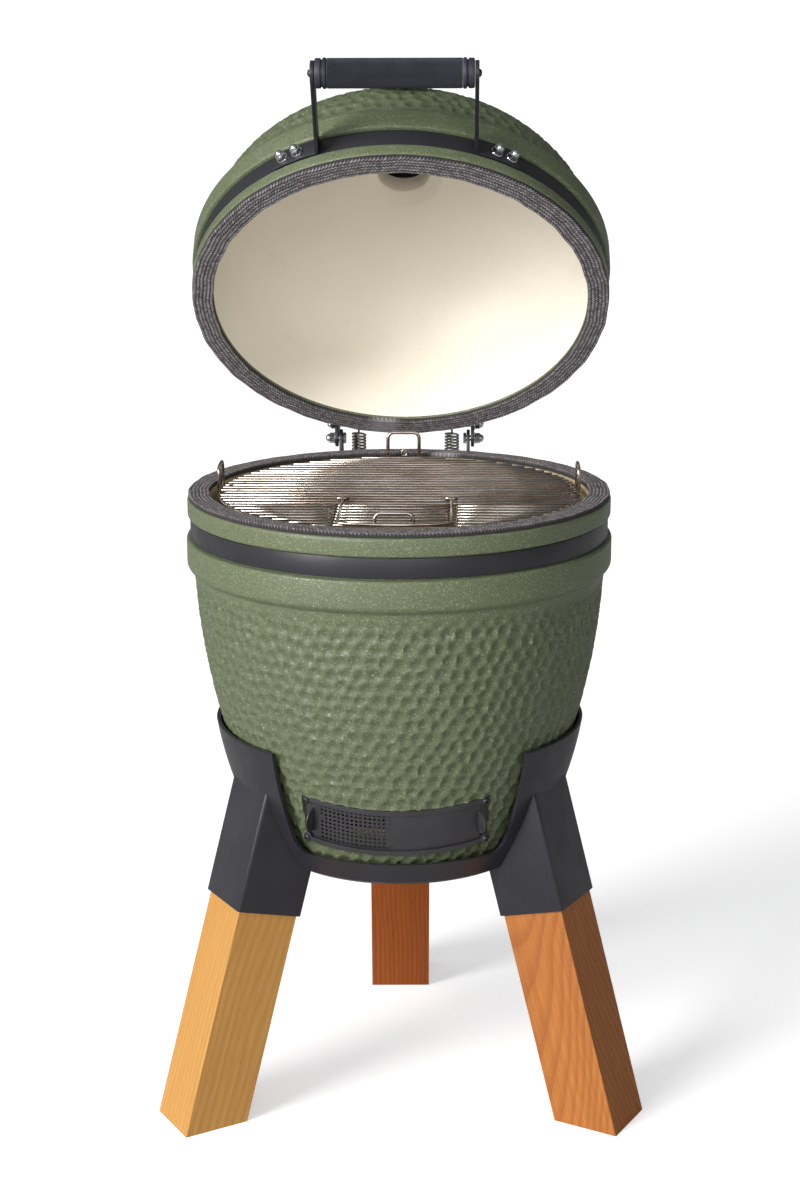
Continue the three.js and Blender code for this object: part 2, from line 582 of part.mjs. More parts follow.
function cradleBowl(inset) {
  const heights = bodyHeights(CRADLE_TOP, CRADLE_FLOOR + 6, 5);
  return heights.map((z) => [cradleRadius(z) - inset, z]);
}
function cradle() {
  const sheet = CRADLE_SHEET;
  const hollow = turned([[0, CRADLE_TOP + 40], [cradleRadius(CRADLE_TOP) - sheet + 6, CRADLE_TOP + 40],
    ...cradleBowl(sheet), [118, CRADLE_FLOOR + sheet], [0, CRADLE_FLOOR + sheet]]);
  const bowl = turned([[50, CRADLE_FLOOR + sheet], [118, CRADLE_FLOOR + sheet], ...cradleBowl(sheet).reverse(),
    ...cradleBowl(0), [122, CRADLE_FLOOR], [50, CRADLE_FLOOR], [50, CRADLE_FLOOR + sheet]]);
  const sockets = Object.values(legAzimuths).map((azimuth) => {
    const outside = legBar(SOCKET_SIDE, azimuth, 135, SOCKET_START);
    const bore = legBar(LEG_SIDE + 2 * GAP, azimuth, 200, SOCKET_START - 20);
    return cut(outside, bore, hollow);
  });
  const notch = sector(60, 260, -NOTCH_HALF_ANGLE, NOTCH_HALF_ANGLE, NOTCH_FLOOR, CRADLE_TOP + 10, 4);
  return cut(join(bowl, ...sockets), notch);
}
function leg(azimuth) {
  const bar = legBar(LEG_SIDE, azimuth, 340, -20);
  const headroom = turned([[0, CRADLE_TOP + 60], [cradleRadius(CRADLE_TOP) + 20, CRADLE_TOP + 60],
    ...cradleBowl(-1), [123, CRADLE_FLOOR - 1], [0, CRADLE_FLOOR - 1]]);
  return cut(keep(bar, floorUp), headroom);
}
// A hex screw through each socket's inner wall into the leg's end grain side.
function legScrew(azimuth) {
  const head = rodAlongX(6, 4, 6).translate(-SOCKET_SIDE / 2 - 2 - GAP, 0, SOCKET_START + 30);
  return head.rotateY(-SPLAY).translate(FOOT_RADIUS, 0, -RIM_HEIGHT).rotateZ(azimuth * DEG);
}
function cradlePad(index) {
  const low = CRADLE_FLOOR + CRADLE_SHEET + GAP;
  return turned([[0, low], [14, low], [14, BODY_FLOOR - GAP], [0, BODY_FLOOR - GAP]], 12)
    .translate(85, 0, 0).rotateZ((30 + 120 * index) * DEG);
}

// ---------------------------------------------------------------- assembly

function buildStand(group) {
  const stand = new THREE.Group();
  stand.rotation.z = STAND_TURN;
  group.add(stand);
  piece(stand, "cradle", cradle(), blackSteel);
  for (const [name, azimuth] of Object.entries(legAzimuths)) {
    piece(stand, `leg_${name}`, leg(azimuth), wood);
    piece(stand, `leg_screw_${name}`, legScrew(azimuth), chrome);
  }
  [0, 1, 2].forEach((i) => piece(stand, `cradle_pad_${i + 1}`, cradlePad(i), rubber));
}

function buildBase(group) {
  piece(group, "base_shell", baseShell(), glaze);
  piece(group, "base_gasket", ring(RIM_INNER, RIM_RADIUS, RIM_Z + GAP, RIM_Z + GAP + GASKET), felt);
  piece(group, "base_band", band(BASE_BAND_Z, EAR_ANGLE.base), blackSteel);
  piece(group, "base_band_bolt", bandBolt(BASE_BAND_Z, EAR_ANGLE.base), chrome);
  piece(group, "fire_bowl", fireBowl(), fireclay);
  piece(group, "fire_ring", fireRing(), fireclay);
  piece(group, "charcoal_grate", charcoalGrate(), castIron);
}

function buildVent(group) {
  piece(group, "vent_frame", ventFrame(), blackSteel, onVent);
  piece(group, "vent_screen", ventScreen(), blackSteel, onVent);
  piece(group, "vent_door", ventDoor(), blackSteel, onVent);
  [[-1, 1], [1, 1], [-1, -1], [1, -1]].forEach(([side, top], i) =>
    piece(group, `vent_screw_${i + 1}`, ventScrew(side, top), blackSteel, onVent));
}

function buildGrate(group) {
  const top = GRATE_Z + WIRE + GAP;
  piece(group, "cooking_grate", cookingGrate(), stainless);
  piece(group, "grate_flap", grateFlap(), stainless);
  const place = (x, y, turn, z = top) => (mesh) => {
    mesh.position.set(x, y, z);
    mesh.rotation.z = turn;
  };
  const side = GRATE_RADIUS - WIRE - 1;
  piece(group, "grate_loop_rear", loop(36, 25), stainless, place(0, side, 0));
  piece(group, "grate_loop_left", loop(36, 25), stainless, place(-side, 0, Math.PI / 2));
  piece(group, "grate_loop_right", loop(36, 25), stainless, place(side, 0, Math.PI / 2));
  piece(group, "flap_loop", loop(38, FLAP_LOOP_HEIGHT), stainless, place(0, FLAP_FRONT_Y - 2 * WIRE - GAP, 0, top));
}

function buildHinge(group) {
  for (const [name, side] of [["left", -1], ["right", 1]]) {
    piece(group, `hinge_base_plate_${name}`, baseHingePlate(side), blackSteel);
    piece(group, `hinge_pivot_${name}`, pivotBolt(side), chrome,
      (mesh) => mesh.position.set(0, PIVOT_Y, PIVOT_Z));
    piece(group, `hinge_spring_${name}`, spring(), stainless,
      (mesh) => mesh.position.set(side * SPRING_X, LOWER_ROD[0], 0));
  }
  piece(group, "spring_rod_lower", springRod(BASE_PLATE_X + PLATE_THICK + GAP + 1), chrome,
    (mesh) => mesh.position.set(0, ...LOWER_ROD));
}

// The lid's pieces are placed about its own rim plane; the group swings about the pivot.
function buildLid(group) {
  const swing = new THREE.Group();
  swing.position.set(0, PIVOT_Y, PIVOT_Z);
  swing.rotation.x = -LID_OPENING;
  const lid = new THREE.Group();
  lid.position.set(0, -PIVOT_Y, LID_RISE - PIVOT_Z);
  swing.add(lid);
  group.add(swing);
  piece(lid, "lid_shell", lidShell(), glaze);
  piece(lid, "lid_gasket", ring(RIM_INNER, RIM_RADIUS, -GAP - GASKET, -GAP), felt);
  piece(lid, "lid_band", band(LID_BAND_Z, EAR_ANGLE.lid), blackSteel);
  piece(lid, "lid_band_bolt", bandBolt(LID_BAND_Z, EAR_ANGLE.lid), chrome);
  piece(lid, "handle_grip", handleGrip(), gripPlastic);
  for (const [name, side] of [["left", -1], ["right", 1]]) {
    piece(lid, `hinge_lid_plate_${name}`, lidHingePlate(side), blackSteel);
    piece(lid, `handle_bracket_${name}`, handleBracket(side), blackSteel);
    piece(lid, `handle_collar_${name}`, handleCollar(side), gripPlastic);
  }
  piece(lid, "spring_rod_upper", springRod(LID_PLATE_X + PLATE_THICK + GAP + 1), chrome,
    (mesh) => mesh.position.set(0, ...ANCHOR_LID));
  [-NUT_X[1], -NUT_X[0], NUT_X[0], NUT_X[1]].forEach((x, i) => piece(lid, `handle_nut_${i + 1}`, acornNut(x), chrome));
  piece(lid, "chimney_collar", chimneyCollar(), castIron);
  piece(lid, "damper_plate", damperPlate(), castIron);
  piece(lid, "damper_disc", damperDisc(), castIron);
  piece(lid, "damper_pin", damperPin(), chrome);
  piece(lid, "thermometer_case", thermometerCase(), dialWhite);
  piece(lid, "thermometer_needle", thermometerNeedle(), redPaint);
  piece(lid, "thermometer_lens", thermometerLens(), clearGlass);
}

const grill = new THREE.Group();
grill.position.z = RIM_HEIGHT;
buildStand(grill);
buildBase(grill);
buildVent(grill);
buildGrate(grill);
buildHinge(grill);
buildLid(grill);

// The origin is on the floor under the middle of the overall box.
const middle = new THREE.Box3().setFromObject(grill, true).getCenter(new THREE.Vector3());
grill.position.x = -middle.x;
grill.position.y = -middle.y;

export default grill;
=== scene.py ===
"""Looks of a compact ceramic kamado grill on a three-legged wooden stand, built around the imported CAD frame.

Shapes are worked out in millimetres, about the grill's own axes, and placed by one of four matrices:
GRILL (z = 0 at the base's rim), LID (z = 0 at the lid's rim), VENT (the draft slides' axis) and STAND.
"""
import json
import math

import bmesh
import bpy
import numpy as np
from mathutils import Matrix, Vector


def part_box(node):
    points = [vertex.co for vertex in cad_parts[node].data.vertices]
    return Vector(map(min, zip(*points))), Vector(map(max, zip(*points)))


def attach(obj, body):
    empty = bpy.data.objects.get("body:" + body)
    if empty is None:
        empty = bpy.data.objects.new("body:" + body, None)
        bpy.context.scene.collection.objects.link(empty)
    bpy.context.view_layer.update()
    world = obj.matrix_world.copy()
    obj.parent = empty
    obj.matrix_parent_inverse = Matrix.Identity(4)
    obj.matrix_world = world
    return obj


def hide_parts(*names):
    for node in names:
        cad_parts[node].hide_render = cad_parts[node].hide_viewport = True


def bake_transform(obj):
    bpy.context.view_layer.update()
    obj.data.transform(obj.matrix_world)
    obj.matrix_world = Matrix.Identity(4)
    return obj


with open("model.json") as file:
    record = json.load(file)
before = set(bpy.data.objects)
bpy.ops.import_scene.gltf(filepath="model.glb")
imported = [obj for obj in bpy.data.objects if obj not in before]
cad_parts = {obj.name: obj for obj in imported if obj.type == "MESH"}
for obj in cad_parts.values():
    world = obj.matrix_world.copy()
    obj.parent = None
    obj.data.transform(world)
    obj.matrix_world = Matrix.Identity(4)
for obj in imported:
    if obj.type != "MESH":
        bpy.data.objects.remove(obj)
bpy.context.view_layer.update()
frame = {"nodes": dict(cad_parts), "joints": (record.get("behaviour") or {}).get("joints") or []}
scene = bpy.context.scene
MM = 0.001
TAU = 2 * math.pi

# ------------------------------------------------------------------ sizes shared with the solids, in mm
GAP = 0.3
RIM_RADIUS, RIM_INNER, FLANGE_RADIUS, BAND_SEAT, COLLAR_RADIUS = 199, 179, 200, 196, 201.4
WALL = 20
BODY_TOP, BODY_FLOOR = -78.6, -346
GASKET = 4.1
RIM_Z = -4.5
LID_RISE, PIVOT_Y, PIVOT_Z = 4.5, 216.1, 7.75
DOME_RADIUS, DOME_RISE, DOME_CENTRE = 191, 125.5, 57
CHIMNEY_RADIUS = 26
BAND_THICK, BAND_HEIGHT = 1.4, 18.6
BASE_BAND_Z, LID_BAND_Z = -32, 22
BASE_EAR, LID_EAR = math.radians(145), math.radians(33)
VENT_RADIUS, VENT_HALF_HEIGHT = 148, 24.5
VENT_LEAN = math.radians(15)
VENT_EDGE = math.radians(34.5)
STAND_TURN, SPLAY = math.radians(1.6), math.radians(15.8)
LEG_SIDE, SOCKET_SIDE, FOOT_RADIUS = 62, 69, 220.9
LEG_AZIMUTH = {"rear": 90, "left": 210, "right": 330}
RIM_HEIGHT, SOCKET_BOTTOM = 597, -388.3
CRADLE_TOP, CRADLE_FLOOR, CRADLE_SHEET = -222, -353, 4
GRIP_Y, GRIP_Z, GRIP_RADIUS, BRACKET_X, BRACKET_THICK = -269, 27, 13, 69.5, 3.5
ANCHOR_OPEN, LOWER_ROD, SPRING_X = (245, 17.4), (243, -56), 49
BASE_PLATE_X, LID_PLATE_X, PLATE_THICK = 64.4, 68.9, 3.4
WIRE, WIRE_PITCH, GRATE_RADIUS, GRATE_Z = 2.1, 11.7, 172, -3.5
FLAP_LOOP_HEIGHT = 14

# ------------------------------------------------------------------ placing
joints = {j["name"]: j for j in frame["joints"]}
rim_low, rim_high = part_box("base_gasket")
GRILL = Matrix.Translation(((rim_low.x + rim_high.x) / 2, (rim_low.y + rim_high.y) / 2,
                            rim_low.z - (RIM_Z + GAP) * MM))
LID_OPENING = math.radians(-joints["lid_hinge"]["range_deg"][0])
LID = (Matrix.Translation(joints["lid_hinge"]["pos_m"]) @ Matrix.Rotation(-LID_OPENING, 4, "X")
       @ Matrix.Translation((0, -PIVOT_Y * MM, (LID_RISE - PIVOT_Z) * MM)))
VENT = Matrix.Translation(joints["vent_door_track"]["pos_m"]) @ Matrix.Rotation(VENT_LEAN, 4, "X")
STAND = GRILL @ Matrix.Rotation(STAND_TURN, 4, "Z")


def turn(angle, axis="Z"):
    return Matrix.Rotation(angle, 4, axis)


def shift(x, y, z):
    """A move in millimetres."""
    return Matrix.Translation((x * MM, y * MM, z * MM))


# ------------------------------------------------------------------ mesh helpers: a shape is (points, faces) in mm
def merge(*shapes):
    points, faces, start = [], [], 0
    for verts, polys in shapes:
        points.append(np.asarray(verts, float).reshape(-1, 3))
        faces += [[i + start for i in f] for f in polys]
        start += len(points[-1])
    return np.concatenate(points), faces


def moved(shape, matrix):
    """The shape under a matrix whose move is in metres."""
    m = np.array(matrix, float)
    return np.asarray(shape[0], float) @ m[:3, :3].T + m[:3, 3] / MM, shape[1]


def loft(rings, closed=False, capped=True):
    """Skins a list of equal rings of points. closed joins the last ring to the first."""
    rings = np.asarray(rings, float)
    count, size = rings.shape[:2]
    faces = []
    for i in range(count if closed else count - 1):
        a, b = i * size, ((i + 1) % count) * size
        faces += [[a + j, a + (j + 1) % size, b + (j + 1) % size, b + j] for j in range(size)]
    if capped and not closed:
        faces += [list(range(size))[::-1], list(range((count - 1) * size, count * size))]
    return rings.reshape(-1, 3), faces


def lathe(profile, sides=128, closed=True, start=0.0, end=TAU, lift=None):
    """A profile of (radius, height) turned about Z. lift(angles, radii, heights) may move points outwards."""
    profile = np.asarray(profile, float)
    whole = end - start > TAU - 1e-6
    angles = np.linspace(start, end, sides, endpoint=not whole)
    radius = np.repeat(profile[None, :, 0], len(angles), 0)
    height = np.repeat(profile[None, :, 1], len(angles), 0)
    if lift is not None:
        radius, height = lift(angles, radius, height)
    rings = np.stack([radius * np.sin(angles)[:, None], -radius * np.cos(angles)[:, None], height], -1)
    count, size = rings.shape[:2]
    faces = []
    steps = size if closed else size - 1
    for i in range(count if whole else count - 1):
        a, b = i * size, ((i + 1) % count) * size
        faces += [[a + j, b + j, b + (j + 1) % size, a + (j + 1) % size] for j in range(steps)]
    if not whole and closed:
        faces += [list(range(size)), list(range((count - 1) * size, count * size))[::-1]]
    return rings.reshape(-1, 3), faces


def rounded(points, radii, steps=4):
    """A closed outline with its corners rounded; radii is one number or one for each corner."""
    points = [np.asarray(p, float) for p in points]
    radii = [radii] * len(points) if isinstance(radii, (int, float)) else radii
    out = []
    for i, p in enumerate(points):
        before, after = points[i - 1] - p, points[(i + 1) % len(points)] - p
        out += corner(p, before, after, radii[i], steps)
    return np.array(out)


def corner(p, before, after, radius, steps):
    """Points of an arc that rounds the corner p between two directions."""
    la, lb = np.linalg.norm(before), np.linalg.norm(after)
    u, v = before / la, after / lb
    cosine = np.clip(u @ v, -1, 1)
    half = math.acos(cosine) / 2
    if radius <= 0 or half > math.radians(89) or half < 1e-3:
        return [p]
    cut = min(radius / math.tan(half), 0.48 * la, 0.48 * lb)
    r = cut * math.tan(half)
    centre = p + (u + v) / np.linalg.norm(u + v) * (r / math.sin(half))
    a, b = p + u * cut - centre, p + v * cut - centre
    sweep = math.acos(np.clip(a @ b / (r * r), -1, 1))
    return [centre + (a * math.sin(sweep * (1 - t)) + b * math.sin(sweep * t)) / math.sin(sweep)
            for t in np.linspace(0, 1, steps + 1)]


def path(points, radius=0.0, steps=5):
    """An open 3D line with its inner corners rounded."""
    points = [np.asarray(p, float) for p in points]
    out = [points[0]]
    for i in range(1, len(points) - 1):
        out += corner(points[i], points[i - 1] - points[i], points[i + 1] - points[i], radius, steps)
    out.append(points[-1])
    return np.array(out)


def tube(points, radius, sides=10, closed=False):
    """A round wire along a line of points, with softly closed ends."""
    points = np.asarray(points, float)
    ahead = np.roll(points, -1, 0) - points
    tangents = ahead + np.roll(ahead, 1, 0)
    if not closed:
        tangents[0], tangents[-1] = points[1] - points[0], points[-1] - points[-2]
    tangents /= np.linalg.norm(tangents, axis=1)[:, None]
    side = np.cross(tangents[0], (0, 0, 1.0))
    if np.linalg.norm(side) < 0.1:
        side = np.cross(tangents[0], (0, 1.0, 0))
    angles = np.linspace(0, TAU, sides, endpoint=False)
    rings = []
    for p, t in zip(points, tangents):
        side = side - (side @ t) * t
        side /= np.linalg.norm(side)
        up = np.cross(t, side)
        rings.append(p + radius * (np.cos(angles)[:, None] * side + np.sin(angles)[:, None] * up))
    if closed:
        return loft(rings, closed=True)
    tip, tail = points[0], points[-1]
    rings[0] = tip + (rings[0] - tip) * 0.6
    rings[-1] = tail + (rings[-1] - tail) * 0.6
    inner = 0.4 * radius
    rings.insert(1, tip + (rings[0] - tip) / 0.6 + tangents[0] * inner)
    rings.insert(-1, tail + (rings[-1] - tail) / 0.6 - tangents[-1] * inner)
    return loft(rings)


def sheet_cut(outline, holes, thickness, bevel=0.4):
    """A flat plate with holes and eased edges, standing on z = 0."""
    curve = bpy.data.curves.new("outline", "CURVE")
    curve.dimensions = "2D"
    curve.fill_mode = "BOTH"
    for line in [outline, *holes]:
        spline = curve.splines.new("POLY")
        spline.points.add(len(line) - 1)
        for point, (x, y) in zip(spline.points, line):
            point.co = (x, y, 0, 1)
        spline.use_cyclic_u = True
    curve.extrude = thickness / 2 - bevel
    curve.bevel_depth = bevel
    curve.bevel_resolution = 1
    curve.offset = -bevel
    ob = bpy.data.objects.new("outline", curve)
    scene.collection.objects.link(ob)
    mesh = bpy.data.meshes.new_from_object(ob.evaluated_get(bpy.context.evaluated_depsgraph_get()))
    bpy.data.objects.remove(ob)
    bm = bmesh.new()
    bm.from_mesh(mesh)
    bmesh.ops.remove_doubles(bm, verts=bm.verts, dist=1e-3)
    bm.verts.ensure_lookup_table()
    points = np.array([v.co for v in bm.verts])
    points[:, 2] += thickness / 2
    faces = [[v.index for v in f.verts] for f in bm.faces]
    bm.free()
    return points, faces


def circle(radius, x=0.0, y=0.0, sides=32, start=0.0):
    a = start + np.linspace(0, TAU, sides, endpoint=False)
    return np.stack([x + radius * np.cos(a), y + radius * np.sin(a)], -1)


def block(width, depth, height, radius=0.8):
    """A box with eased edges, centred."""
    half = height / 2
    flat = [(-width / 2, -depth / 2), (width / 2, -depth / 2), (width / 2, depth / 2), (-width / 2, depth / 2)]
    outline = rounded(flat, radius, 3)
    inner = outline * (1 - 2 * radius / np.array([width, depth]))
    flat_rings = [(inner, -half), (outline, radius - half), (outline, half - radius), (inner, half)]
    return loft([np.column_stack([o, np.full(len(o), z)]) for o, z in flat_rings])


def turned(profile, sides=32):
    """A solid of revolution about Z whose profile starts and ends on the axis."""
    core = [(max(r, 1e-3), z) for r, z in profile]
    return lathe(core, sides, closed=False)


def hexagon(across, height, chamfer=0.8):
    """A hexagonal nut or bolt head standing on z = 0."""
    corner_radius = across / math.sqrt(3)
    outline = circle(corner_radius, sides=6)
    small = outline * (1 - chamfer / corner_radius)
    levels = [(small, 0), (outline, chamfer * 0.5), (outline, height - chamfer * 0.5), (small, height)]
    return loft([np.column_stack([o, np.full(6, z)]) for o, z in levels])


def acorn_nut(across=10.0):
    """A domed cap nut standing on z = 0, on a thin washer."""
    washer = turned([(0, 0), (across * 0.62, 0), (across * 0.64, 0.4), (across * 0.6, 1), (0, 1)], 28)
    nut = moved(hexagon(across, across * 0.5), shift(0, 0, 1))
    top = across * 0.5 + 0.8
    dome = turned([(0, top)] + [(across * 0.44 * math.cos(a), top + across * 0.45 * math.sin(a))
                                for a in np.linspace(0, math.pi / 2, 8)], 24)
    return merge(washer, nut, dome)


def build(name, shape, place, materials, body, cad=(), sharp=35, faces_of=None, attributes=None):
    """Makes a piece from a shape in mm, lets it ride on its body and hides the CAD nodes that it stands for."""
    mesh = bpy.data.meshes.new(name)
    mesh.from_pydata(np.asarray(shape[0], float).tolist(), [], shape[1])
    for key, values in (attributes or {}).items():
        mesh.attributes.new(key, "FLOAT", "POINT").data.foreach_set("value", np.asarray(values, np.float32))
    mesh.transform(place @ Matrix.Scale(MM, 4))
    bm = bmesh.new()
    bm.from_mesh(mesh)
    bmesh.ops.recalc_face_normals(bm, faces=bm.faces)
    bm.to_mesh(mesh)
    bm.free()
    for material in materials if isinstance(materials, (list, tuple)) else [materials]:
        mesh.materials.append(material)
    if faces_of is not None:
        mesh.polygons.foreach_set("material_index", np.asarray(faces_of, np.int32))
    mesh.shade_smooth()
    mesh.set_sharp_from_angle(angle=math.radians(sharp))
    ob = bpy.data.objects.new(name, mesh)
    scene.collection.objects.link(ob)
    if body:
        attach(ob, body)
    if cad:
        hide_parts(*cad)
    return ob


def cut_by(ob, cutters, operation="DIFFERENCE"):
    """Applies exact booleans with temporary objects."""
    for cutter in cutters:
        modifier = ob.modifiers.new("cut", "BOOLEAN")
        modifier.object, modifier.operation, modifier.solver = cutter, operation, "EXACT"
    bpy.context.view_layer.update()
    mesh = bpy.data.meshes.new_from_object(ob.evaluated_get(bpy.context.evaluated_depsgraph_get()))
    ob.modifiers.clear()
    old, ob.data = ob.data, mesh
    mesh.name = old.name
    for cutter in cutters:
        bpy.data.objects.remove(cutter)
    return ob


# ------------------------------------------------------------------ materials
class Look:
    """A Principled material with short ways to add and join nodes."""

    def __init__(self, name, **settings):
        self.material = bpy.data.materials.new(name)
        self.material.use_nodes = True
        self.tree = self.material.node_tree
        self.shader = self.tree.nodes["Principled BSDF"]
        self.spot = self.node("ShaderNodeTexCoord").outputs["Object"]
        for key, value in settings.items():
            self.shader.inputs[key.replace("_", " ")].default_value = value

    def node(self, kind, inputs=None, **settings):
        made = self.tree.nodes.new(kind)
        for key, value in settings.items():
            setattr(made, key, value)
        for key, value in (inputs or {}).items():
            if isinstance(value, bpy.types.NodeSocket):
                self.tree.links.new(value, made.inputs[key])
            else:
                made.inputs[key].default_value = value
        return made

    def math(self, operation, a, b=0.0, clamp=False):
        return self.node("ShaderNodeMath", {0: a, 1: b}, operation=operation, use_clamp=clamp).outputs[0]

    def noise(self, scale, detail=2.0, rough=0.5, spot=None, distortion=0.0):
        return self.node("ShaderNodeTexNoise", {"Vector": spot or self.spot, "Scale": scale, "Detail": detail,
                                                "Roughness": rough, "Distortion": distortion}).outputs["Fac"]

    def cells(self, scale, output="Color", feature="F1", spot=None):
        made = self.node("ShaderNodeTexVoronoi", {"Vector": spot or self.spot, "Scale": scale}, feature=feature)
        return made.outputs[output]

    def ramp(self, value, *stops):
        """Blends colours, each stop being (place, colour); a colour may be one grey number."""
        made = self.node("ShaderNodeValToRGB", {"Fac": value})
        stones = made.color_ramp.elements
        while len(stones) < len(stops):
            stones.new(0.5)
        for stone, (where, colour) in zip(stones, stops):
            grey = isinstance(colour, (int, float))
            stone.position = where
            stone.color = (colour, colour, colour, 1) if grey else (*colour, 1)
        return made.outputs["Color"]

    def mix(self, share, a, b, blend="MIX"):
        made = self.node("ShaderNodeMix", data_type="RGBA", blend_type=blend)
        for socket, value in zip((made.inputs[0], made.inputs[6], made.inputs[7]), (share, a, b)):
            if isinstance(value, bpy.types.NodeSocket):
                self.tree.links.new(value, socket)
            elif isinstance(value, tuple):
                socket.default_value = (*value, 1) if len(value) == 3 else value
            else:
                socket.default_value = value
        return made.outputs[2]

    def stretch(self, scale, turn_by=(0, 0, 0), spot=None):
        return self.node("ShaderNodeMapping", {"Vector": spot or self.spot, "Scale": scale, "Rotation": turn_by}
                         ).outputs["Vector"]

    def attribute(self, name):
        return self.node("ShaderNodeAttribute", attribute_name=name).outputs["Fac"]

    def colour(self, value):
        self.tree.links.new(value, self.shader.inputs["Base Color"])
        return self

    def rough(self, value):
        self.tree.links.new(value, self.shader.inputs["Roughness"])
        return self

    def bump(self, height, distance, strength=1.0):
        """Raises the surface by up to a distance in metres."""
        previous = self.shader.inputs["Normal"].links
        made = self.node("ShaderNodeBump", {"Height": height, "Distance": distance, "Strength": strength})
        if previous:
            self.tree.links.new(previous[0].from_socket, made.inputs["Normal"])
        self.tree.links.new(made.outputs["Normal"], self.shader.inputs["Normal"])
        return self


def rgb(r, g, b):
    """A linear colour from display values of 0 to 255."""
    return tuple(((c / 255 + 0.055) / 1.055) ** 2.4 if c > 10 else c / 255 / 12.92 for c in (r, g, b))


def glaze():
    """Sage green speckled glaze: dark and light grains, glassy glints painted lighter as painted highlights, and
    painted shade darkening the dimples.
    """
    look = Look("green_glaze", Roughness=0.42)
    grain = look.noise(1500, 2, 0.65)
    patches = look.noise(38, 3, 0.6)
    base = look.ramp(grain, (0.30, rgb(68, 75, 52)), (0.44, rgb(90, 98, 70)), (0.56, rgb(103, 111, 83)),
                     (0.72, rgb(136, 142, 117)))
    tint = look.mix(look.math("MULTIPLY", look.ramp(patches, (0.35, 0.0), (0.7, 1.0)), 0.28), base, rgb(85, 96, 65))
    # painted shade: each dimple's hollow is darkened towards a deep green by its depth
    pits = look.math("MULTIPLY", look.attribute("pit"), 0.42)
    tint = look.mix(pits, tint, rgb(58, 65, 42))
    # painted highlight: small cells are lifted towards a pale colour as glints; their lower roughness is real
    glints = look.node("ShaderNodeSeparateColor", {0: look.cells(1150)}).outputs[0]
    painted_glint = look.ramp(glints, (0.925, 0.0), (0.95, 1.0))
    tint = look.mix(look.math("MULTIPLY", painted_glint, 0.3), tint, rgb(205, 210, 190))
    look.colour(tint)
    look.rough(look.ramp(glints, (0.3, 0.50), (0.8, 0.40), (0.95, 0.18)))
    look.bump(grain, 0.0003, 0.6)
    return look.material


def interior_glaze():
    """Smooth cream lining with faint clouds."""
    look = Look("cream_lining", Roughness=0.5)
    clouds = look.noise(9, 3, 0.55)
    fine = look.noise(420, 3, 0.6)
    tint = look.ramp(clouds, (0.3, rgb(244, 236, 220)), (0.7, rgb(248, 242, 229)))
    tint = look.mix(look.math("MULTIPLY", look.ramp(fine, (0.55, 0.0), (0.75, 1.0)), 0.12), tint, rgb(196, 178, 148))
    look.colour(tint)
    look.rough(look.ramp(fine, (0.3, 0.42), (0.7, 0.58)))
    look.bump(fine, 0.00012, 0.4)
    return look.material


def fireclay(name="fire_clay", dark=(168, 148, 118), light=(206, 188, 158)):
    """Bare fired clay: sandy grain and a few small pits."""
    look = Look(name, Roughness=0.9)
    clouds = look.noise(22, 4, 0.6)
    sand = look.noise(900, 3, 0.7)
    tint = look.ramp(clouds, (0.3, rgb(*dark)), (0.7, rgb(*light)))
    tint = look.mix(look.math("MULTIPLY", look.ramp(sand, (0.35, 1.0), (0.55, 0.0)), 0.35), tint, rgb(120, 100, 74))
    look.colour(tint)
    look.rough(look.ramp(sand, (0.3, 0.95), (0.7, 0.8)))
    look.bump(sand, 0.0004, 0.6)
    return look.material


def powder_coat(name="black_powder_coat", tone=(43, 42, 48), roughness=0.36):
    """Satin black powder coat: fine orange peel and faint handling marks."""
    look = Look(name, Roughness=roughness)
    peel = look.noise(2600, 2, 0.5)
    cloud = look.noise(30, 4, 0.6)
    darker = tuple(c * 0.82 for c in tone)
    tint = look.ramp(cloud, (0.3, rgb(*darker)), (0.7, rgb(*tone)))
    speck = look.ramp(look.noise(3800, 1, 0.5), (0.66, 0.0), (0.74, 1.0))
    tint = look.mix(look.math("MULTIPLY", speck, 0.3), tint, rgb(70, 70, 78))
    look.colour(tint)
    look.rough(look.ramp(cloud, (0.3, roughness + 0.05), (0.7, roughness - 0.05)))
    look.bump(peel, 0.00008, 0.5)
    return look.material


def cast_iron():
    look = Look("cast_iron", Roughness=0.6, Metallic=0.45)
    sand = look.noise(950, 4, 0.7)
    cloud = look.noise(40, 3, 0.6)
    tint = look.ramp(cloud, (0.3, rgb(44, 44, 45)), (0.7, rgb(66, 65, 64)))
    tint = look.mix(look.math("MULTIPLY", look.ramp(sand, (0.6, 0.0), (0.72, 1.0)), 0.4), tint, rgb(104, 100, 96))
    look.colour(tint)
    look.rough(look.ramp(sand, (0.3, 0.72), (0.7, 0.5)))
    look.bump(sand, 0.0003, 0.7)
    return look.material


def steel(name, dark, light, roughness, along, heat=None):
    """Bright drawn steel with fine lines along one direction and, on the grate, heat tints in patches."""
    look = Look(name, Metallic=1.0, Roughness=roughness)
    lines = look.noise(600, 3, 0.6, spot=look.stretch(along))
    cloud = look.noise(16, 3, 0.6)
    tint = look.ramp(lines, (0.3, rgb(*dark)), (0.7, rgb(*light)))
    if heat:
        tint = look.mix(look.math("MULTIPLY", look.ramp(cloud, (0.42, 0.0), (0.68, 1.0)), 0.55), tint, rgb(*heat))
    look.colour(tint)
    look.rough(look.ramp(lines, (0.3, roughness + 0.1), (0.7, max(0.04, roughness - 0.06))))
    look.bump(lines, 0.00004, 0.3)
    return look.material


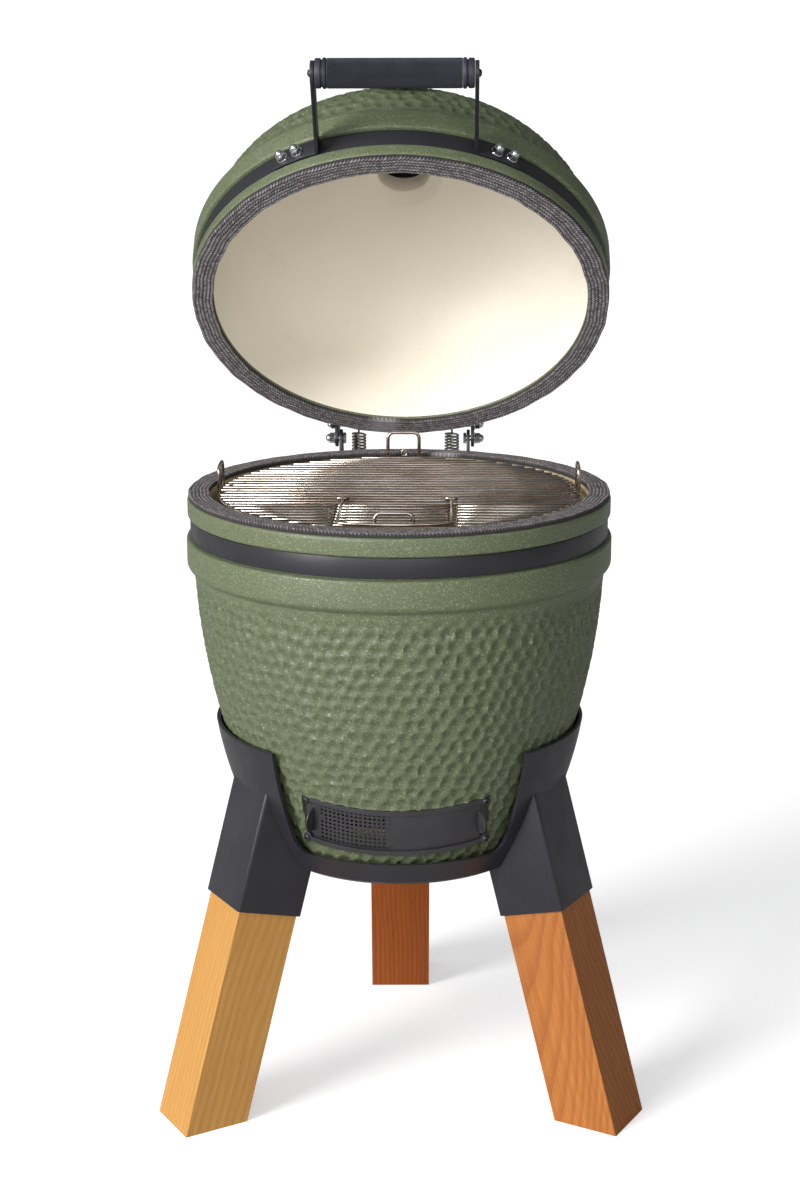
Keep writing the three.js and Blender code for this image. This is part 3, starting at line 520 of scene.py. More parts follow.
def braid():
    """Flat woven rope: pale strands, darkened towards each stitch's low parts and grooves as painted shade. `strand` is
    the stitch's height and `tone` its random brightness.
    """
    look = Look("woven_gasket", Roughness=0.92)
    fibre = look.noise(1900, 3, 0.7)
    height, tone, seam = (look.attribute(n) for n in ("strand", "tone", "seam"))
    dark = look.ramp(fibre, (0.3, rgb(28, 25, 27)), (0.7, rgb(58, 54, 55)))
    pale = look.ramp(fibre, (0.3, rgb(138, 131, 134)), (0.7, rgb(214, 207, 210)))
    # painted shade: the dark colour fills the stitches' low parts and the grooves between them, the pale colour their
    # crests, by each stitch's height
    lit = look.math("MULTIPLY", look.ramp(height, (0.35, 0.0), (0.95, 1.0)), tone)
    tint = look.mix(lit, dark, pale)
    tint = look.mix(seam, tint, rgb(150, 146, 152))
    look.colour(tint)
    look.rough(look.ramp(fibre, (0.3, 0.97), (0.7, 0.82)))
    look.bump(fibre, 0.0003, 0.7)
    return look.material


def wood(name, azimuth, pith, lean, early, late):
    """Oiled hardwood cut from a trunk whose middle passes the leg at `pith`, in metres, leaning with height."""
    look = Look(name, Roughness=0.5)
    facing = (0, 0, -math.radians(azimuth) - STAND_TURN)
    about = look.node("ShaderNodeMapping", {"Vector": look.spot, "Rotation": facing}).outputs["Vector"]
    leg = look.node("ShaderNodeMapping", {"Vector": about, "Rotation": (0, SPLAY, 0)}).outputs["Vector"]
    wander = look.noise(4, 3, 0.55, spot=look.stretch((1, 1, 0.45), spot=leg))
    axes = look.node("ShaderNodeSeparateXYZ", {0: leg}).outputs
    across = [look.math("ADD", look.math("ADD", axes[i], -pith[i]), look.math("MULTIPLY", axes[2], lean[i]))
              for i in (0, 1)]
    reach = look.math("SQRT", look.math("ADD", look.math("POWER", across[0], 2.0), look.math("POWER", across[1], 2.0)))
    rings = look.math("FRACT", look.math("ADD", look.math("MULTIPLY", reach, 190), look.math("MULTIPLY", wander, 9.0)))
    growth = look.ramp(rings, (0.0, 0.25), (0.35, 0.0), (0.8, 0.75), (0.93, 1.0), (1.0, 0.25))
    fibre = look.noise(1300, 3, 0.7, spot=look.stretch((1, 1, 0.03), spot=leg))
    streaks = look.noise(330, 3, 0.6, spot=look.stretch((1, 1, 0.03), spot=leg))
    pores = look.ramp(look.noise(1900, 2, 0.6, spot=look.stretch((1, 1, 0.07), spot=leg)), (0.62, 0.0), (0.70, 1.0))
    tint = look.mix(look.math("MULTIPLY", growth, 0.55), rgb(*early), rgb(*late))
    tint = look.mix(look.math("MULTIPLY", look.ramp(wander, (0.4, 0.0), (0.65, 1.0)), 0.3), tint, rgb(*late))
    tint = look.mix(look.math("MULTIPLY", look.ramp(streaks, (0.38, 1.0), (0.6, 0.0)), 0.3), tint, rgb(*late))
    tint = look.mix(look.math("MULTIPLY", look.ramp(fibre, (0.35, 1.0), (0.6, 0.0)), 0.35), tint, rgb(*late))
    tint = look.mix(look.math("MULTIPLY", pores, 0.42), tint, tuple(c * 0.5 for c in rgb(*late)))
    look.colour(tint)
    look.rough(look.ramp(fibre, (0.3, 0.58), (0.7, 0.44)))
    look.bump(fibre, 0.0001, 0.45)
    look.bump(look.ramp(pores, (0.0, 1.0), (1.0, 0.0)), 0.00008, 0.5)
    return look.material


def moulded(name, tone, roughness):
    """Moulded plastic or rubber with a fine grain."""
    look = Look(name, Roughness=roughness)
    grain = look.noise(2400, 3, 0.6)
    cloud = look.noise(60, 2, 0.5)
    tint = look.ramp(cloud, (0.3, rgb(*(c * 0.85 for c in tone))), (0.7, rgb(*tone)))
    look.colour(tint)
    look.rough(look.ramp(grain, (0.3, roughness + 0.08), (0.7, roughness - 0.08)))
    look.bump(grain, 0.00006, 0.5)
    return look.material


def painted(name, tone, roughness=0.5):
    look = Look(name, Roughness=roughness)
    cloud = look.noise(300, 2, 0.5)
    look.colour(look.ramp(cloud, (0.3, rgb(*(c * 0.93 for c in tone))), (0.7, rgb(*tone))))
    look.bump(cloud, 0.00002, 0.3)
    return look.material


def clear_glass():
    look = Look("dial_glass", Roughness=0.03, IOR=1.45)
    look.shader.inputs["Transmission Weight"].default_value = 1.0
    look.bump(look.noise(60, 2, 0.5), 0.00001, 0.2)
    return look.material


GLAZE = glaze()
LINING = interior_glaze()
CLAY = fireclay()
COAT = powder_coat()
VENT_COAT = powder_coat("gunmetal_coat", (55, 54, 58), 0.34)
IRON = cast_iron()
GRATE_STEEL = steel("grate_wire", (150, 141, 134), (214, 207, 200), 0.2, (0.03, 1, 1), heat=(128, 102, 84))
SPRING_STEEL = steel("spring_wire", (150, 146, 140), (214, 210, 204), 0.26, (1, 1, 0.3))
CHROME = steel("bright_plating", (196, 196, 200), (232, 232, 235), 0.1, (1, 1, 1))
ROPE = braid()
GRIP = moulded("grip_rubber", (50, 51, 62), 0.5)
RUBBER = moulded("pad_rubber", (30, 30, 31), 0.8)
DIAL = painted("dial_face", (228, 226, 218))
INK = painted("dial_print", (24, 24, 26))
RED = painted("needle_paint", (176, 30, 22), 0.4)
GLASS = clear_glass()
# Three copies of one oiled wood, their colours partly the boards' own and partly painted light and painted shade: the
# left leg lightest where the key light falls, the right and rear legs darker as painted shade
WOODS = {"left": wood("wood_left_lit_tone", 210, (0.02, 0.34), (0.03, 0.0), (204, 156, 84), (178, 121, 56)),
         "right": wood("wood_right_shaded_tone", 330, (0.16, 0.05), (-0.25, 0.08), (184, 118, 48), (134, 66, 16)),
         "rear": wood("wood_rear_shaded_tone", 90, (0.1, 0.28), (0.05, 0.0), (156, 80, 16), (114, 50, 6))}


# ------------------------------------------------------------------ dimpled ceramic
def body_radius(z):
    depth = BODY_TOP - z
    return 194.7 - 0.045 * depth - 0.00082 * depth * depth


def inner_radius(z):
    return min(RIM_INNER, body_radius(z) - WALL)


def dome_radius(z):
    return DOME_RADIUS * math.sqrt(max(0.0, 1 - ((z - DOME_CENTRE) / DOME_RISE) ** 2))


def dome_inner(z):
    return (DOME_RADIUS - WALL) * math.sqrt(max(0.0, 1 - ((z - DOME_CENTRE) / (DOME_RISE - WALL + 2)) ** 2))


DIMPLE_PITCH = 14.0
ROW_PITCH = 12.2


def dimple_field(angles, along, radius, seed):
    """0 on the ridges to 1 in the middles of jittered hexagonal cells, at each angle and distance along the wall."""
    rng = np.random.default_rng(seed)
    rows = int(along.max() / ROW_PITCH) + 3
    row_radius = np.interp(np.arange(-1, rows) * ROW_PITCH, along, radius)
    best = np.full((2, len(angles), len(along)), 1e9)
    for k in range(-1, rows):
        here = max(row_radius[k + 1], 8.0)
        count = max(4, round(TAU * here / DIMPLE_PITCH))
        wobble = rng.uniform(-0.24, 0.24, (count, 2))
        centre = (k + 0.5 + wobble[:, 1]) * ROW_PITCH
        near = np.nonzero(abs(along - (k + 0.5) * ROW_PITCH) < 2.4 * ROW_PITCH)[0]
        if not len(near):
            continue
        first = np.floor(angles / TAU * count - 0.5 * (k % 2)).astype(int)
        for step in (-1, 0, 1, 2):
            index = (first + step) % count
            middle = (first + step + 0.5 * (k % 2) + wobble[index, 0]) * TAU / count
            across = (angles - middle)[:, None] * radius[near][None, :]
            up = along[near][None, :] - centre[index][:, None]
            distance = np.hypot(across, up)
            block_best = best[:, :, near]
            far = np.maximum(block_best[0], distance)
            block_best[1] = np.minimum(block_best[1], far)
            block_best[0] = np.minimum(block_best[0], distance)
            best[:, :, near] = block_best
    share = 2 * best[0] / (best[0] + best[1])
    return 1 - np.clip(share, 0, 1) ** 2.2


def dimpled(profile, weights, sides, depth, seed):
    """Turns a closed profile and presses dimples where weights is above 0. Also gives each point's `pit`."""
    profile = np.asarray(profile, float)
    steps = np.linalg.norm(np.diff(profile, axis=0, append=profile[:1]), axis=1)
    along = np.concatenate([[0], np.cumsum(steps)[:-1]])
    ahead = np.roll(profile, -1, 0) - np.roll(profile, 1, 0)
    normal = np.stack([ahead[:, 1], -ahead[:, 0]], -1)
    normal /= np.linalg.norm(normal, axis=1)[:, None]
    used = np.nonzero(weights > 0)[0]
    pit = np.zeros((sides, len(profile)))
    angles = np.linspace(0, TAU, sides, endpoint=False)
    field = dimple_field(angles, along[used] - along[used].min(), profile[used, 0], seed)
    pit[:, used] = field * weights[used][None, :]

    def lift(_, radius, height):
        return radius - depth * pit * normal[:, 0], height - depth * pit * normal[:, 1]

    return lathe(profile, sides, lift=lift), pit.ravel()


def fade(value, start, end):
    t = np.clip((value - start) / (end - start), 0, 1)
    return t * t * (3 - 2 * t)


def spread(points, spacing):
    """Adds points along a line so that none are further apart than spacing."""
    out = [points[0]]
    for a, b in zip(points[:-1], points[1:]):
        count = max(1, math.ceil(math.dist(a, b) / spacing))
        out += [tuple(np.asarray(a) + (np.asarray(b) - np.asarray(a)) * i / count) for i in range(1, count + 1)]
    return out


def open_round(points, radii, steps=4):
    """Rounds the inner corners of an open 2D line; radii is one for each point."""
    points = [np.asarray(p, float) for p in points]
    out = [points[0]]
    for i in range(1, len(points) - 1):
        out += corner(points[i], points[i - 1] - points[i], points[i + 1] - points[i], radii[i], steps)
    out.append(points[-1])
    return [tuple(p) for p in out]


CERAMIC_SIDES = 560
DIMPLE_DEPTH = 2.8


def ceramic_base():
    wall = [(body_radius(z), z) for z in np.linspace(BODY_FLOOR + 9, BODY_TOP, 104)]
    foot = open_round([(0.01, BODY_FLOOR), (body_radius(BODY_FLOOR), BODY_FLOOR), wall[0]], [0, 12, 0], 5)[:-1]
    shoulder = open_round(
        [wall[-1], (195.4, -74), (COLLAR_RADIUS, -69), (COLLAR_RADIUS, -42.6), (BAND_SEAT, -42.2), (BAND_SEAT, -21.8),
         (FLANGE_RADIUS, -21.8), (FLANGE_RADIUS, RIM_Z - 3), (RIM_RADIUS, RIM_Z), (RIM_INNER, RIM_Z), (RIM_INNER, -60)],
        [0, 5, 7, 4.5, 0.6, 0.6, 2.5, 4, 2, 2.5, 0], 5)[1:]
    inside = [(inner_radius(z), z) for z in np.linspace(BODY_TOP, BODY_FLOOR + WALL, 14)] + [(0.01, BODY_FLOOR + WALL)]
    profile = foot + wall + shoulder + inside
    heights = np.array([p[1] for p in profile])
    outer = np.arange(len(profile)) < len(foot) + len(wall)
    weights = np.where(outer, fade(heights, BODY_TOP + 1, BODY_TOP - 12), 0)
    shape, pit = dimpled(profile, weights, CERAMIC_SIDES, DIMPLE_DEPTH, 3)
    inner_from = len(foot) + len(wall) + len(shoulder) - 4
    kinds = np.tile((np.arange(len(profile)) >= inner_from).astype(int), CERAMIC_SIDES)
    ob = build("ceramic_base", shape, GRILL, [GLAZE, CLAY], None, faces_of=kinds, attributes={"pit": pit}, sharp=60)
    recess = sector(VENT_RADIUS - 3, VENT_RADIUS + 40, -VENT_EDGE - 0.012, VENT_EDGE + 0.012,
                    -VENT_HALF_HEIGHT - GAP, VENT_HALF_HEIGHT + GAP, 24)
    draft = sector(VENT_RADIUS - 50, VENT_RADIUS + 1, math.radians(-28.5), math.radians(-1.5), -20, 20, 10)
    cutters = [build(f"cutter_{i}", s, VENT, [GLAZE, CLAY], None) for i, s in enumerate((recess, draft))]
    cut_by(ob, cutters)
    ob.data.set_sharp_from_angle(angle=math.radians(50))
    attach(ob, "base")
    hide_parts("base_shell")


def sector(inner, outer, start, end, low, high, steps=12):
    """Part of a ring of rectangular section, angles measured from -Y towards +X."""
    return lathe([(inner, low), (outer, low), (outer, high), (inner, high)], steps + 1, start=start, end=end)


NECK_TOP = DOME_CENTRE + DOME_RISE + 8


def ceramic_lid():
    rim = open_round(
        [(RIM_INNER, 14), (RIM_INNER, 0), (RIM_RADIUS, 0), (RIM_RADIUS + 0.6, 3), (RIM_RADIUS + 0.6, 12.2),
         (BAND_SEAT, 12.4), (BAND_SEAT, 31.6), (COLLAR_RADIUS, 31.8), (COLLAR_RADIUS, 54), (193.5, 60),
         (dome_radius(66), 66)],
        [0, 2.5, 2, 3, 2.5, 0.6, 0.6, 4.5, 7, 5, 0], 5)[1:]
    heights = DOME_CENTRE + DOME_RISE * np.sin(np.linspace(math.asin(9 / DOME_RISE), math.asin(0.977), 72))
    dome = [(dome_radius(z), z) for z in heights][1:]
    neck = open_round([dome[-1], (43, NECK_TOP - 6), (41, NECK_TOP), (CHIMNEY_RADIUS, NECK_TOP), (CHIMNEY_RADIUS, 171),
                       (39, 163), (60, dome_z_inside(60))], [0, 4, 2, 2, 2, 2, 0], 4)[1:]
    inner_heights = DOME_CENTRE + (DOME_RISE - WALL + 2) * np.sin(np.linspace(1.15, 0.03, 30))
    inside = [(dome_inner(z), z) for z in inner_heights] + [(RIM_INNER - 5, 34), (RIM_INNER, 14)]
    profile = rim + dome + neck + inside[:-1]
    count = np.arange(len(profile))
    along_dome = (count >= len(rim)) & (count < len(rim) + len(dome))
    level = np.array([p[1] for p in profile])
    radius = np.array([p[0] for p in profile])
    weights = np.where(along_dome, fade(level, 60, 74) * fade(radius, 44, 54), 0)
    shape, pit = dimpled(profile, weights, CERAMIC_SIDES, DIMPLE_DEPTH, 11)
    inner_from = len(rim) + len(dome) + 8
    kinds = np.tile((count >= inner_from).astype(int), CERAMIC_SIDES)
    ob = build("ceramic_lid", shape, LID, [GLAZE, LINING], None, faces_of=kinds, attributes={"pit": pit}, sharp=60)
    stem = moved(turned([(0, -60), (5, -60), (5, 30), (0, 30)], 16), dome_front())
    cut_by(ob, [build("cutter", stem, LID, [GLAZE, LINING], None)])
    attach(ob, "lid")
    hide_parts("lid_shell")


def dome_z_inside(radius):
    return DOME_CENTRE + (DOME_RISE - WALL + 2) * math.sqrt(1 - (radius / (DOME_RADIUS - WALL)) ** 2)


DIAL_Z = 116
DIAL_TILT = math.atan2((DIAL_Z - DOME_CENTRE) / DOME_RISE ** 2, dome_radius(DIAL_Z) / DOME_RADIUS ** 2)


def dome_front():
    """Puts a shape that stands on z = 0 on the front of the dome, where the thermometer is."""
    return shift(0, -dome_radius(DIAL_Z), DIAL_Z) @ turn(math.pi / 2 - DIAL_TILT, "X")


ceramic_base()
ceramic_lid()


# ------------------------------------------------------------------ woven gaskets
def gasket(name, place, sign, seam_angle, body, cad):
    """A flat braid round the rim: six rows of slanted stitches on the face, rounded flanks, flat against the clay."""
    rows, stitches, fine = 6, 372, 4
    width = RIM_RADIUS - RIM_INNER
    flank = [(0.0, 0.0), (0.0, 0.45), (0.35, 0.85)]
    face = np.linspace(0.05, 0.95, rows * 4 + 1)
    section = [(u * 0.1 * width / 2, v) for u, v in flank]
    section += [(f * width, 1.0) for f in face]
    section += [(width - u * 0.1 * width / 2, v) for u, v in flank[::-1]]
    section = np.array(section)
    angles = np.linspace(0, TAU, stitches * fine, endpoint=False)
    across = section[:, 0] / width * rows
    row = np.floor(np.clip(across, 0, rows - 1e-6))
    within = across - row - 0.5
    lean = np.where(row % 2 == 0, 0.8, -0.8)
    count = angles[:, None] / TAU * stitches + lean * within + 0.5 * (row % 2)
    part = count - np.floor(count) - 0.5
    height = np.clip(1 - (2 * part) ** 2 * 0.9 - (2 * within) ** 2 * 0.75, 0, 1) ** 0.6
    rng = np.random.default_rng(len(name))
    shades = rng.uniform(0.35, 1.0, (rows, stitches))
    tone = shades[row.astype(int)[None, :], np.floor(count).astype(int) % stitches]
    seam = np.exp(-((np.angle(np.exp(1j * (angles - seam_angle))) / 0.075) ** 4))[:, None] * np.ones(len(section))
    seam *= 0.6 + 0.4 * np.sin(across * 9 + angles[:, None] * 260)
    flat = section[:, 1] * GASKET
    waves = 0.25 * np.sin(angles * 23) + 0.2 * np.sin(angles * 41 + 1)
    raise_by = (height - 1.0) * 0.6 * (section[:, 1] > 0.9) * (1 - 0.7 * seam)
    radius = RIM_INNER + section[:, 0][None, :] + (waves[:, None] * (0.4 + section[:, 1]))
    radius = np.clip(radius, RIM_INNER - 0.4, RIM_RADIUS + 0.6)
    level = sign * (GAP + flat + raise_by)
    points = np.stack([radius * np.sin(angles)[:, None], -radius * np.cos(angles)[:, None], level], -1)
    shape = loft(points, closed=True)
    full = np.ones_like(points[..., 0])
    build(name, shape, place, ROPE, body, cad=cad, sharp=80,
          attributes={"strand": (height * full).ravel(), "tone": (tone * full).ravel(), "seam": (seam * full).ravel()})


gasket("gasket_braid_base", GRILL @ shift(0, 0, RIM_Z), 1, math.pi - 0.235, "base", ["base_gasket"])
gasket("gasket_braid_lid", LID, -1, math.pi + 0.11, "lid", ["lid_gasket"])


# ------------------------------------------------------------------ clamp bands
def band(name, place, z, ear_angle, body, cad):
    inner, outer = BAND_SEAT + GAP, BAND_SEAT + GAP + BAND_THICK
    half = BAND_HEIGHT / 2
    section = rounded([(inner, z - half), (outer, z - half), (outer, z + half), (inner, z + half)], 0.5, 3)
    split = 3.4 / BAND_SEAT
    ring_angle = ear_angle + math.pi / 2
    hoop = lathe(section, 240, start=ring_angle + split, end=ring_angle + TAU - split)
    ear = rounded([(-1.4, -half), (14.4, -half), (14.4, half), (-1.4, half)], [0.3, 5.5, 5.5, 0.3], 6)
    sheet = sheet_cut(ear, [circle(2.8, 7.5)], 2.2, 0.4)
    ears = []
    for side in (-1, 1):
        place_ear = turn(ear_angle) @ shift(outer, side * 4.5 + 1.1, z) @ turn(math.pi / 2, "X")
        ears.append(moved(sheet, place_ear))
    build(name, merge(hoop, *ears), place, COAT, body, cad=cad, sharp=40)


def band_bolt(name, place, z, ear_angle, body, cad):
    shank = turned([(0, -9), (2.3, -9), (2.5, -8.4), (2.5, 12), (1.9, 13), (0, 13)], 20)
    head = moved(turned([(0, 0), (4.6, 0), (4.6, 1.8), (3.6, 3.3), (0, 3.8)], 28),
                 shift(0, 0, -9.6) @ turn(math.pi, "X"))
    nut = moved(hexagon(8.4, 4), shift(0, 0, 6.2))
    washers = [moved(turned([(0, 0), (4.9, 0), (4.9, 0.7), (0, 0.7)], 24), shift(0, 0, h)) for h in (-6.7, 5.9)]
    bolt = merge(shank, moved(head, shift(0, 0, 3)), nut, *washers)
    where = turn(ear_angle) @ shift(BAND_SEAT + GAP + BAND_THICK + 7.3, 0, z) @ turn(math.pi / 2, "X")
    build(name, moved(bolt, where), place, CHROME, body, cad=cad)


band("clamp_band_base", GRILL, BASE_BAND_Z, BASE_EAR, "base", ["base_band"])
band("clamp_band_lid", LID, LID_BAND_Z, LID_EAR, "lid", ["lid_band"])
band_bolt("clamp_bolt_base", GRILL, BASE_BAND_Z, BASE_EAR, "base", ["base_band_bolt"])
band_bolt("clamp_bolt_lid", LID, LID_BAND_Z, LID_EAR, "lid", ["lid_band_bolt"])


# ------------------------------------------------------------------ handle
def upright(outline, x, thickness, bevel=0.5, holes=()):
    """A plate in the YZ plane from its [y, z] outline, its thickness running along +X from x."""
    flat = sheet_cut(outline, holes, thickness, bevel)
    return moved(flat, shift(x, 0, 0) @ Matrix(((0, 0, 1, 0), (1, 0, 0, 0), (0, 1, 0, 0), (0, 0, 0, 1))))


def arc(cx, cy, radius, start, end, steps=12):
    angles = np.radians(np.linspace(start, end, steps + 1))
    return [(cx + radius * math.cos(a), cy + radius * math.sin(a)) for a in angles]


MIRROR_X = Matrix.Scale(-1, 4, (1, 0, 0))
FOOT_Y = BAND_SEAT + GAP + BAND_THICK + GAP
NUT_X = (88.5, 101.7)


def handle():
    root = -math.sqrt(FOOT_Y ** 2 - BRACKET_X ** 2) - 0.2
    low, high = LID_BAND_Z - 9, LID_BAND_Z + 9
    outline = [(root, low), (root, high)] + arc(GRIP_Y, GRIP_Z, 11, 80, 285, 20)
    outline = rounded(outline, [1.5, 1.5] + [0] * 21, 3)
    strip = upright(outline, BRACKET_X, BRACKET_THICK, 0.6)
    start, end = math.asin(BRACKET_X / FOOT_Y), math.asin(109 / FOOT_Y)
    section = rounded([(FOOT_Y, low), (FOOT_Y + 2.4, low), (FOOT_Y + 2.4, high), (FOOT_Y, high)], 0.7, 2)
    foot = lathe(section, 14, start=start, end=end)
    screw = handle_screws()
    for name, flip in (("left", MIRROR_X), ("right", Matrix.Identity(4))):
        bracket = moved(merge(strip, foot), flip)
        build(f"handle_strap_{name}", bracket, LID, COAT, "lid", cad=[f"handle_bracket_{name}"])
        build(f"handle_screws_{name}", moved(screw, flip), LID, COAT, "lid")
    for i, x in enumerate((-NUT_X[1], -NUT_X[0], NUT_X[0], NUT_X[1])):
        angle = math.asin(x / FOOT_Y)
        where = turn(angle) @ shift(0, -FOOT_Y - 2.4 - GAP, LID_BAND_Z) @ turn(math.pi / 2, "X")
        build(f"cap_nut_{i + 1}", moved(acorn_nut(9), where), LID, CHROME, "lid", cad=[f"handle_nut_{i + 1}"])
    grip()


def handle_screws():
    """Two small dome screws on each bracket's outer face."""
    dome = turned([(0, 0), (3.4, 0), (3.3, 0.8), (2.5, 1.8), (1.2, 2.3), (0, 2.4)], 20)
    face = BRACKET_X + BRACKET_THICK - 0.05
    return merge(*(moved(dome, shift(face, GRIP_Y + y, GRIP_Z + z) @ turn(math.pi / 2, "Y"))
                   for y, z in ((-3.6, -3.6), (3.6, 3.6))))


def grip():
    """A knurled sleeve: diamonds in two crossing helices, between grooved end collars."""
    span, around, rows = 58.7, 40, 52
    knurl = knurled(span, GRIP_RADIUS + 0.05, 0.8, around, rows)
    build("handle_sleeve", moved(knurl, shift(0, GRIP_Y, GRIP_Z)), LID, GRIP, "lid", cad=["handle_grip"])
    ring = [(0, 0), (11.2, 0), (12.6, 0.5), (12.9, 1.2), (12.9, 5.0), (12.2, 5.5), (11.6, 5.7), (11.6, 6.6),
            (12.2, 6.8), (13.2, 7.3), (13.3, 9.2), (13.0, 9.9), (12.2, 10.4), (0, 10.4)]
    for name, side in (("left", -1), ("right", 1)):
        end = shift(side * (BRACKET_X - GAP), GRIP_Y, GRIP_Z) @ turn(-side * math.pi / 2, "Y")
        collar = moved(turned(ring, 56), end)
        build(f"grip_collar_{name}", collar, LID, GRIP, "lid", cad=[f"handle_collar_{name}"])


def knurled(span, radius, depth, around, rows):
    """A cylinder along X with raised diamonds: corners lie in the grooves and each middle stands proud."""
    grid = []
    for i in range(2 * rows + 1):
        angles = (np.arange(around) + 0.5 * (i % 2)) * TAU / around
        x = -span + span * i / rows
        grid.append([(x, (radius - depth) * math.sin(a), (radius - depth) * math.cos(a)) for a in angles])
    points = [p for row in grid for p in row]
    faces = []
    for i in range(2 * rows - 1):
        for j in range(around):
            ahead = (i + 1) * around
            shift_by = 0 if i % 2 else -1
            a, c = i * around + j, (i + 2) * around + j
            b, d = ahead + (j + shift_by) % around, ahead + (j + shift_by + 1) % around
            corners = np.array([points[k] for k in (a, b, c, d)])
            middle = corners.mean(0)
            middle[1:] *= radius / np.hypot(*middle[1:])
            flat = 0.45 * corners + 0.55 * middle
            flat[:, 1:] *= (radius - 0.1) / np.hypot(flat[:, 1], flat[:, 2])[:, None]
            base = len(points)
            points += [tuple(p) for p in flat]
            ring = [base, base + 1, base + 2, base + 3]
            outer = [a, b, c, d]
            faces += [[outer[k], outer[(k + 1) % 4], ring[(k + 1) % 4], ring[k]] for k in range(4)]
            faces.append(ring)
    for row, flip in ((0, 1), (2 * rows, -1)):
        inner = 1 if row == 0 else 2 * rows - 1
        for j in range(around):
            here, nxt = row * around + j, row * around + (j + 1) % around
            tip = inner * around + (j if inner % 2 else (j + 1)) % around
            faces.append([here, tip, nxt][::flip])
        faces.append([row * around + j for j in range(around)][::-flip])
    return np.array(points), faces


handle()


# ------------------------------------------------------------------ hinge
def grill_to_lid(y, z):
    """Where a point of the grill's [y, z] lies in the open lid's own [y, z]."""
    dy, dz = y - PIVOT_Y, z - PIVOT_Z
    c, s = math.cos(LID_OPENING), math.sin(LID_OPENING)
    return PIVOT_Y + dy * c - dz * s, PIVOT_Z + dy * s + dz * c - LID_RISE


PIVOT_LID = (PIVOT_Y, PIVOT_Z - LID_RISE)
ANCHOR_LID = grill_to_lid(*ANCHOR_OPEN)


def ring_y(radius, x):
    return math.sqrt(radius * radius - x * x)


def hinge():
    face = ring_y(BAND_SEAT + BAND_THICK + 2 * GAP, BASE_PLATE_X)
    base_plate = [(face, BASE_BAND_Z - 8), (face, BASE_BAND_Z + 8),
                  (ring_y(COLLAR_RADIUS, BASE_PLATE_X) + 5, BASE_BAND_Z + 10), (PIVOT_Y - 10, PIVOT_Z - 8)]
    base_plate += arc(PIVOT_Y, PIVOT_Z, 9, 180, 10, 16) + [(LOWER_ROD[0] + 2, -30)]
    base_plate += arc(*LOWER_ROD, 9, 20, -130, 14) + [(PIVOT_Y - 4, BASE_BAND_Z - 9)]
    lid_face = ring_y(BAND_SEAT + BAND_THICK + 2 * GAP, LID_PLATE_X)
    lid_plate = [(lid_face, LID_BAND_Z - 8), (ring_y(COLLAR_RADIUS, LID_PLATE_X) + 3, LID_BAND_Z - 12)]
    lid_plate += arc(*PIVOT_LID, 9, 200, 350, 14) + arc(*ANCHOR_LID, 8, -20, 110, 12)
    lid_plate += [(lid_face + 12, LID_BAND_Z + 8), (lid_face, LID_BAND_Z + 8)]
    plates = (
        ("base", GRILL, base_plate, BASE_PLATE_X, [circle(3.3, PIVOT_Y, PIVOT_Z, 24), circle(3.3, *LOWER_ROD, 24)]),
        ("lid", LID, lid_plate, LID_PLATE_X, [circle(3.3, *PIVOT_LID, 24), circle(3.3, *ANCHOR_LID, 24)]),
    )
    for body, place, outline, x, holes in plates:
        shape = upright(outline, x, PLATE_THICK, 0.6, holes)
        for name, flip in (("left", MIRROR_X), ("right", Matrix.Identity(4))):
            build(f"hinge_arm_{body}_{name}", moved(shape, flip), place, COAT, body,
                  cad=[f"hinge_{body}_plate_{name}"])
    pivots()
    rods()
    springs()


def cap_at(x, side):
    """A cap nut on its washer, facing outwards along X."""
    return moved(acorn_nut(9.6), shift(side * x, 0, 0) @ turn(side * math.pi / 2, "Y"))


def pivots():
    head = moved(hexagon(10, 3.2), shift(BASE_PLATE_X - GAP, 0, 0) @ turn(-math.pi / 2, "Y"))
    length = LID_PLATE_X + PLATE_THICK - BASE_PLATE_X + 3
    shank = moved(turned([(0, -length / 2), (3, -length / 2), (3, length / 2), (0, length / 2)], 24),
                  shift(BASE_PLATE_X - 1 + length / 2, 0, 0) @ turn(math.pi / 2, "Y"))
    pivot = moved(merge(head, shank, cap_at(LID_PLATE_X + PLATE_THICK + GAP, 1)), shift(0, PIVOT_Y, PIVOT_Z))
    for name, flip in (("left", MIRROR_X), ("right", Matrix.Identity(4))):
        build(f"hinge_bolt_{name}", moved(pivot, flip), GRILL, CHROME, "base", cad=[f"hinge_pivot_{name}"])


def rods():
    for name, body, place, (y, z), reach in (("lower", "base", GRILL, LOWER_ROD, BASE_PLATE_X + PLATE_THICK + GAP),
                                             ("upper", "lid", LID, ANCHOR_LID, LID_PLATE_X + PLATE_THICK + GAP)):
        bar = moved(turned([(0, -reach), (3, -reach), (3, reach), (0, reach)], 28), turn(math.pi / 2, "Y"))
        shape = moved(merge(bar, cap_at(reach, 1), cap_at(reach, -1)), shift(0, y, z))
        build(f"spring_bar_{name}", shape, place, CHROME, body, cad=[f"spring_rod_{name}"])


